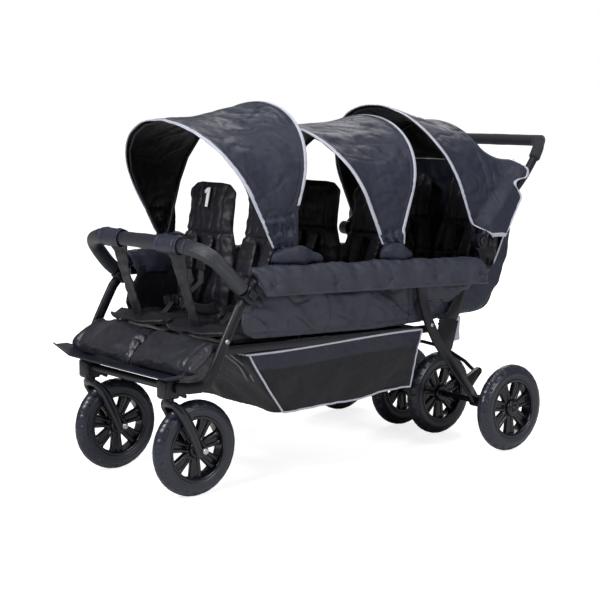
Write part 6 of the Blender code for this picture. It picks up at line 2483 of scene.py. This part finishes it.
        def corner(level: int, end: int) -> int:
            """The column of the front corner for -1, or the rear corner for 1, on a level."""
            return int(np.argmax(side.value * rows[level, :, 0] + end * rows[level, :, 1]))

        front, rear = corner(lowest, -1), corner(lowest, 1)
        ways = ((front + np.arange((rear - front) % columns + 1)) % columns,
                (front - np.arange((front - rear) % columns + 1)) % columns)
        low = rows[lowest, min(ways, key=len)]
        levels = np.arange(1, lowest)

        def down(end: int) -> Array:
            """Points down a corner, which drifts from column to column.

            Args:
                end: -1 for the front corner, 1 for the rear one.

            Returns:
                The points.
            """
            first, last = corner(1, end), corner(lowest, end)
            turn = (last - first + columns // 2) % columns - columns // 2
            at = first + turn * (levels - 1) / (lowest - 1)
            left, share = np.floor(at).astype(int), (at % 1.0)[:, None]
            return rows[levels, left % columns] * (1 - share) + rows[levels, (left + 1) % columns] * share

        line = np.vstack([down(-1), low, down(1)[::-1]])
        line = even_path(line, 240, round_off=False)
        return [self.pipe("basket_edge_tape_" + side.word, line, False, TAPE, 0.0038)]

    def snaps(self, rows: Array, side: Side) -> None:
        """Two snap caps under the rim.

        Args:
            rows: The bag's points, level by level.
            side: Which side.
        """
        places = []
        for y in (-0.188, 0.001):
            column = int(np.argmin(np.abs(rows[3, :, 1] - y) + (np.sign(rows[3, :, 0]) != side.value)))
            places.append(rows[4, column])
        self.repeats.fasten("basket_snaps_" + side.word, places, [(side.value, 0.0, 0.1)] * 2, 0.0055,
                            SNAP_METAL, "frame")

    def straps(self) -> None:
        """Hanging straps that carry the bag's front from the front cross tube."""
        for side in Side:
            x = side.value * 0.215
            for index, (dx, y) in enumerate(((0.0, -0.472), (side.value * 0.022, -0.466))):
                z = float(lower_rail_z(-0.485))
                path = even_path([(x + dx, *place) for place in
                                  ((-0.4965, z + 0.006), (-0.4965, z - 0.010), (y - 0.006, z - 0.030),
                                   (y + 0.036, 0.338), (y + 0.060, 0.300))], 30)
                strap = ribbon("basket_strap_%s_%d" % (side.word, index + 1), GREY_STRAP, path,
                               (1.0, 0.0, 0.0), 0.010, 0.0018)
                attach(strap, "frame")


@dataclass
class RearTub:
    """The cloth trough under the rear seats, whose back rises between the handle's tubes."""

    half: float = 0.272
    floor: float = 0.4125
    length_rows: int = 90
    columns: int = 96

    def build(self) -> None:
        """Make the trough with its taped rim."""
        table = np.array([(0.225, self.floor - 0.008, 0.470), (0.300, self.floor - 0.004, 0.520),
                          (0.380, self.floor, 0.524), (0.440, self.floor + 0.002, 0.526),
                          (0.472, 0.428, 0.534), (0.502, 0.460, 0.566), (0.532, 0.496, 0.618),
                          (0.553, 0.545, 0.662), (0.572, 0.612, 0.704), (0.588, 0.690, 0.746),
                          (0.600, 0.764, 0.800), (0.603, 0.866, 0.868)])
        profile = even_path(table, self.length_rows)
        rows = []
        for y, low, high in profile:
            half = self.half - 0.014 * max(0.0, low - 0.55) / 0.29
            wall = max(high - low, 0.010)
            corner = min(0.022, wall * 0.7)
            side = [(half, low + wall), (half + 0.001, low + corner + (wall - corner) * 0.5),
                    (half, low + corner)]
            bend = [(half - corner + corner * math.cos(a), low + corner - corner * math.sin(a))
                    for a in np.radians(np.linspace(15.0, 90.0, 6))]
            points = side + bend
            full = points + [(0.0, low)] + [(-x, z) for x, z in reversed(points)]
            flat = even_path(full, self.columns, round_off=False)
            rows.append(np.column_stack([flat[:, 0], np.full(self.columns, y), flat[:, 1]]))
        rows = np.array(rows)
        normal = surface_normals(rows)
        across, along = np.linspace(0.0, 1.0, self.columns), np.linspace(0.0, 1.0, self.length_rows)
        edge = np.minimum(across, across[::-1])[None, :]
        hold = smooth_step(edge, 0.0, 0.08) * smooth_step(along[:, None], 0.0, 0.05)
        folds = ripple(rows, 6.0, 141, (1.3, 0.7, 0.7)) * 0.0045 + ripple(rows, 18.0, 142) * 0.0014
        carried = smooth_step(rows[..., 1], 0.500, 0.530)
        rows = rows + normal * (folds * hold * (0.25 + 0.75 * carried))[..., None]
        tub = Draft().grid(rows).piece("rear_tub_cloth", [OUTER_CLOTH], weld=False)
        thicken(tub, HEAVY_CLOTH)
        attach(tub, "frame")
        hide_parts("rear_tub")
        for side, column in ((Side.LEFT, 0), (Side.RIGHT, -1)):
            edge, inner, face = border(rows, ["first_column" if column == 0 else "last_column"])
            tape = binding("rear_tub_tape_" + side.word, edge[34:], inner[34:], face[34:])
            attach(tape, "frame")
        LOG.info("rear tub")


@dataclass
class RearHood:
    """The cloth from the last canopy's fixed hoop over the handle's tubes, with a taped wing on each side."""

    canopy: "Canopy"
    columns: int = 44
    around: int = 220

    def ring(self) -> Array:
        """The hood's rear edge from the left wing's foot, round the fold and over the top to the right.

        Returns:
            The edge's points.
        """
        back = [(0.3225, 0.496, 0.6490), (0.3235, 0.512, 0.668), (0.3235, 0.530, 0.700),
                (0.3235, 0.550, 0.732), (0.3235, 0.566, 0.760), (0.3225, 0.560, 0.779),
                (0.3215, 0.545, 0.795), (0.3205, 0.544, 0.810), (0.3195, 0.562, 0.818),
                (0.3190, 0.590, 0.822), (0.3130, 0.599, 0.836), (0.3020, 0.594, 0.852),
                (0.2860, 0.583, 0.866), (0.255, 0.587, 0.871), (0.15, 0.600, 0.871)]
        return np.array(back + [(0.0, 0.605, 0.868)] + [(-x, y, z) for x, y, z in reversed(back)])

    def build(self) -> None:
        """Make the cloth and its tape, bending from the frame to the handle."""
        grow = self.canopy.bow_radius + self.canopy.cloth + 0.0018
        hoop, _ = self.canopy.hoop(False, grow)
        start = even_path(hoop, self.around, round_off=False)
        end = even_path(self.ring(), self.around)
        share = np.linspace(0.0, 1.0, self.columns)[None, :, None]
        rows = start[:, None] * (1.0 - share) + end[:, None] * share
        normal = surface_normals(rows)
        place = share[..., 0]
        high = smooth_step(rows[..., 2], 0.74, 0.86)
        lift = np.sin(PI * place) * (0.006 - 0.016 * high)
        ends = smooth_step(place, 0.0, 0.15) * smooth_step(1.0 - place, 0.0, 0.12)
        folds = ripple(rows, 5.0, 151, (1.0, 0.7, 1.0)) * 0.0060 + ripple(rows, 15.0, 152) * 0.0018
        lift = lift + ends * folds
        lift = lift - 0.0026 * ridge(place, 0.06, 0.03)
        rows = wrap_handle(rows + normal * lift[..., None])
        hood = Draft().grid(rows).piece("rear_hood_cloth", [OUTER_CLOTH, LINING], weld=False)
        thicken(hood, self.canopy.cloth, 1)
        tape = binding("rear_hood_tape", *border(rows, ["first_row", "last_column", "-last_row"]))
        for piece in (hood, tape):
            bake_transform(piece, "frame", "handle", start=(0.0, 0.500, 0.727), end=(0.0, 0.590, 0.815))
        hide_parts("rear_hood")
        LOG.info("rear hood")


# Frame

@dataclass
class Footplate:
    """The curved moulded plate on the caster housings, with a grained top and a rubbed rim."""

    half: float = 0.324
    rear: float = -0.598
    front: float = -0.704
    base_z: float = 0.3323
    thickness: float = 0.0044

    def build(self) -> None:
        """Make the plate as one shell with grip ribs."""
        across = np.linspace(-1.0, 1.0, 150)
        depth = np.linspace(0.0, 1.0, 44)
        rows = []
        for share in depth:
            rear = self.rear - 0.057 * across ** 4
            front = self.front + 0.004 * across ** 2
            y = rear + (front - rear) * share
            rise = 0.024 * np.maximum(0.0, np.abs(across) - 0.72) / 0.28
            lip = 0.006 * smooth_step(np.array(share), 0.78, 1.0)
            rib = 0.0006 * (np.sin(share * 50.0) > 0.2) * (0.12 < share < 0.74) * (np.abs(across) < 0.86)
            z = self.base_z + self.thickness + rise + lip + rib
            rows.append(np.column_stack([across * self.half, y, z]))
        top = np.array(rows)
        plate = Draft().grid(top, flip=True).piece("footplate_top", [FOOT_PLASTIC, WORN_PLASTIC], weld=False)
        thicken(plate, self.thickness, 0)
        edge = plate.modifiers.new("edges", "BEVEL")
        edge.width = 0.0012
        edge.segments = 2
        edge.limit_method = "ANGLE"
        edge.angle_limit = math.radians(50.0)
        edge.material = 1
        apply_modifiers(plate)
        plate.data.shade_smooth()
        plate.data.set_sharp_from_angle(angle=math.radians(60.0))
        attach(plate, "frame")
        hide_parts("footplate")
        LOG.info("footplate")


@dataclass
class Chassis:
    """The rigid frame: every tube, plate, lever and button, softened and dressed."""

    repeats: Repeats

    def build(self) -> None:
        """Finish the CAD shapes and add the bright fasteners."""
        for node in ("front_axle_beam", "lower_frame", "rear_axle", "brake_bar"):
            refined(node, FRAME_COAT, WORN_COAT)
        for side in Side:
            for node in ("side_rail_", "front_leg_", "rear_leg_", "lock_brace_"):
                refined(node + side.word, FRAME_COAT, WORN_COAT)
            fork = refined("front_fork_" + side.word, GLOSS_COAT, WORN_COAT)
            shape_points(fork, self.thicker_tube)
            self.tag(side)
            for node in ("swivel_lock_", "bar_button_"):
                refined(node + side.word, BLACK_PLASTIC, WORN_PLASTIC, 0.0006)
            self.rivets(side)
        LOG.info("chassis")

    @staticmethod
    def thicker_tube(points: Array, normals: Array) -> Array:
        """The forks' tubes at their full thickness, with the crown's top left where it turns."""
        low = 1.0 - smooth_step(points[:, 2], 0.245, 0.262)
        return points + normals * np.array([0.0022, 0.0052, 0.0052]) * low[:, None]

    @staticmethod
    def tag(side: Side) -> None:
        """The loose end of a pale strap that hangs behind the lower rail.

        Args:
            side: Which side.
        """
        x = side.value * 0.268
        path = even_path([(x, 0.352, 0.4100), (x, 0.350, 0.392), (x, 0.348, 0.366), (x, 0.350, 0.336)], 24)
        strap = ribbon("strap_end_" + side.word, TAPE, path, (0.0, 1.0, 0.0), 0.026, 0.0020)
        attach(strap, "frame")

    def rivets(self, side: Side) -> None:
        """Rivets on the legs and bolts on the fork ends.

        Args:
            side: Which side.
        """
        x = side.value
        out = (float(x), 0.0, 0.0)
        self.repeats.fasten("front_leg_rivet_" + side.word, [(x * 0.3150, -0.5525, 0.4335)], [out],
                            0.0062, STEEL, "frame")
        self.repeats.fasten("rear_leg_rivets_" + side.word,
                            [(x * 0.3165, 0.1525, 0.5290), (x * 0.3162, 0.1960, 0.4030)], [out] * 2,
                            0.0052, STEEL, "undercarriage")
        wheel_x, wheel_y = WHEELS["front_"]
        places = [(x * wheel_x + reach, wheel_y, WHEEL_RADIUS) for reach in (0.0526, -0.0526)]
        self.repeats.fasten("fork_bolts_" + side.word, places, [(1.0, 0.0, 0.0), (-1.0, 0.0, 0.0)],
                            0.0085, STEEL, "caster_" + side.word)


# The whole stroller

CANOPY_SIZES = (
    (1, 0.283, -0.354, 26.7, 0.404, -0.332, 16.1, 0.4225, 0.6391, 0.026, 0.018, (-0.386, -0.204), 0.125,
     0.131),
    (2, 0.283, 0.046, 24.2, 0.391, 0.0825, 16.7, 0.398, 0.6238, 0.026, 0.018, (0.012, 0.136), 0.070, 0.020),
    (3, 0.277, 0.4425, 23.75, 0.473, 0.478, 1.5, 0.386, 0.6034, 0.052, 0.046, (0.0, 0.0), 0.0, 0.0),
)


def main() -> None:
    logging.basicConfig(level=logging.INFO, format="%(name)s: %(message)s")
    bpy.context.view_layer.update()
    repeats = Repeats()
    Studio().build()
    for side in Side:
        for place, (x, y) in WHEELS.items():
            Wheel(place + side.word, (side.value * x, y, WHEEL_RADIUS), repeats).build()
    Chassis(repeats).build()
    Footplate().build()
    Handle().build()
    FrontBar().build()
    Seats(repeats).build()
    LegRest().build()
    for side in Side:
        SidePanel(side, repeats).build()
    Basket(repeats).build()
    RearTub().build()
    canopies = [Canopy(*sizes, repeats=repeats) for sizes in CANOPY_SIZES]
    for canopy in canopies:
        canopy.build()
    RearHood(canopies[-1]).build()


if __name__ == "__main__":
    main()
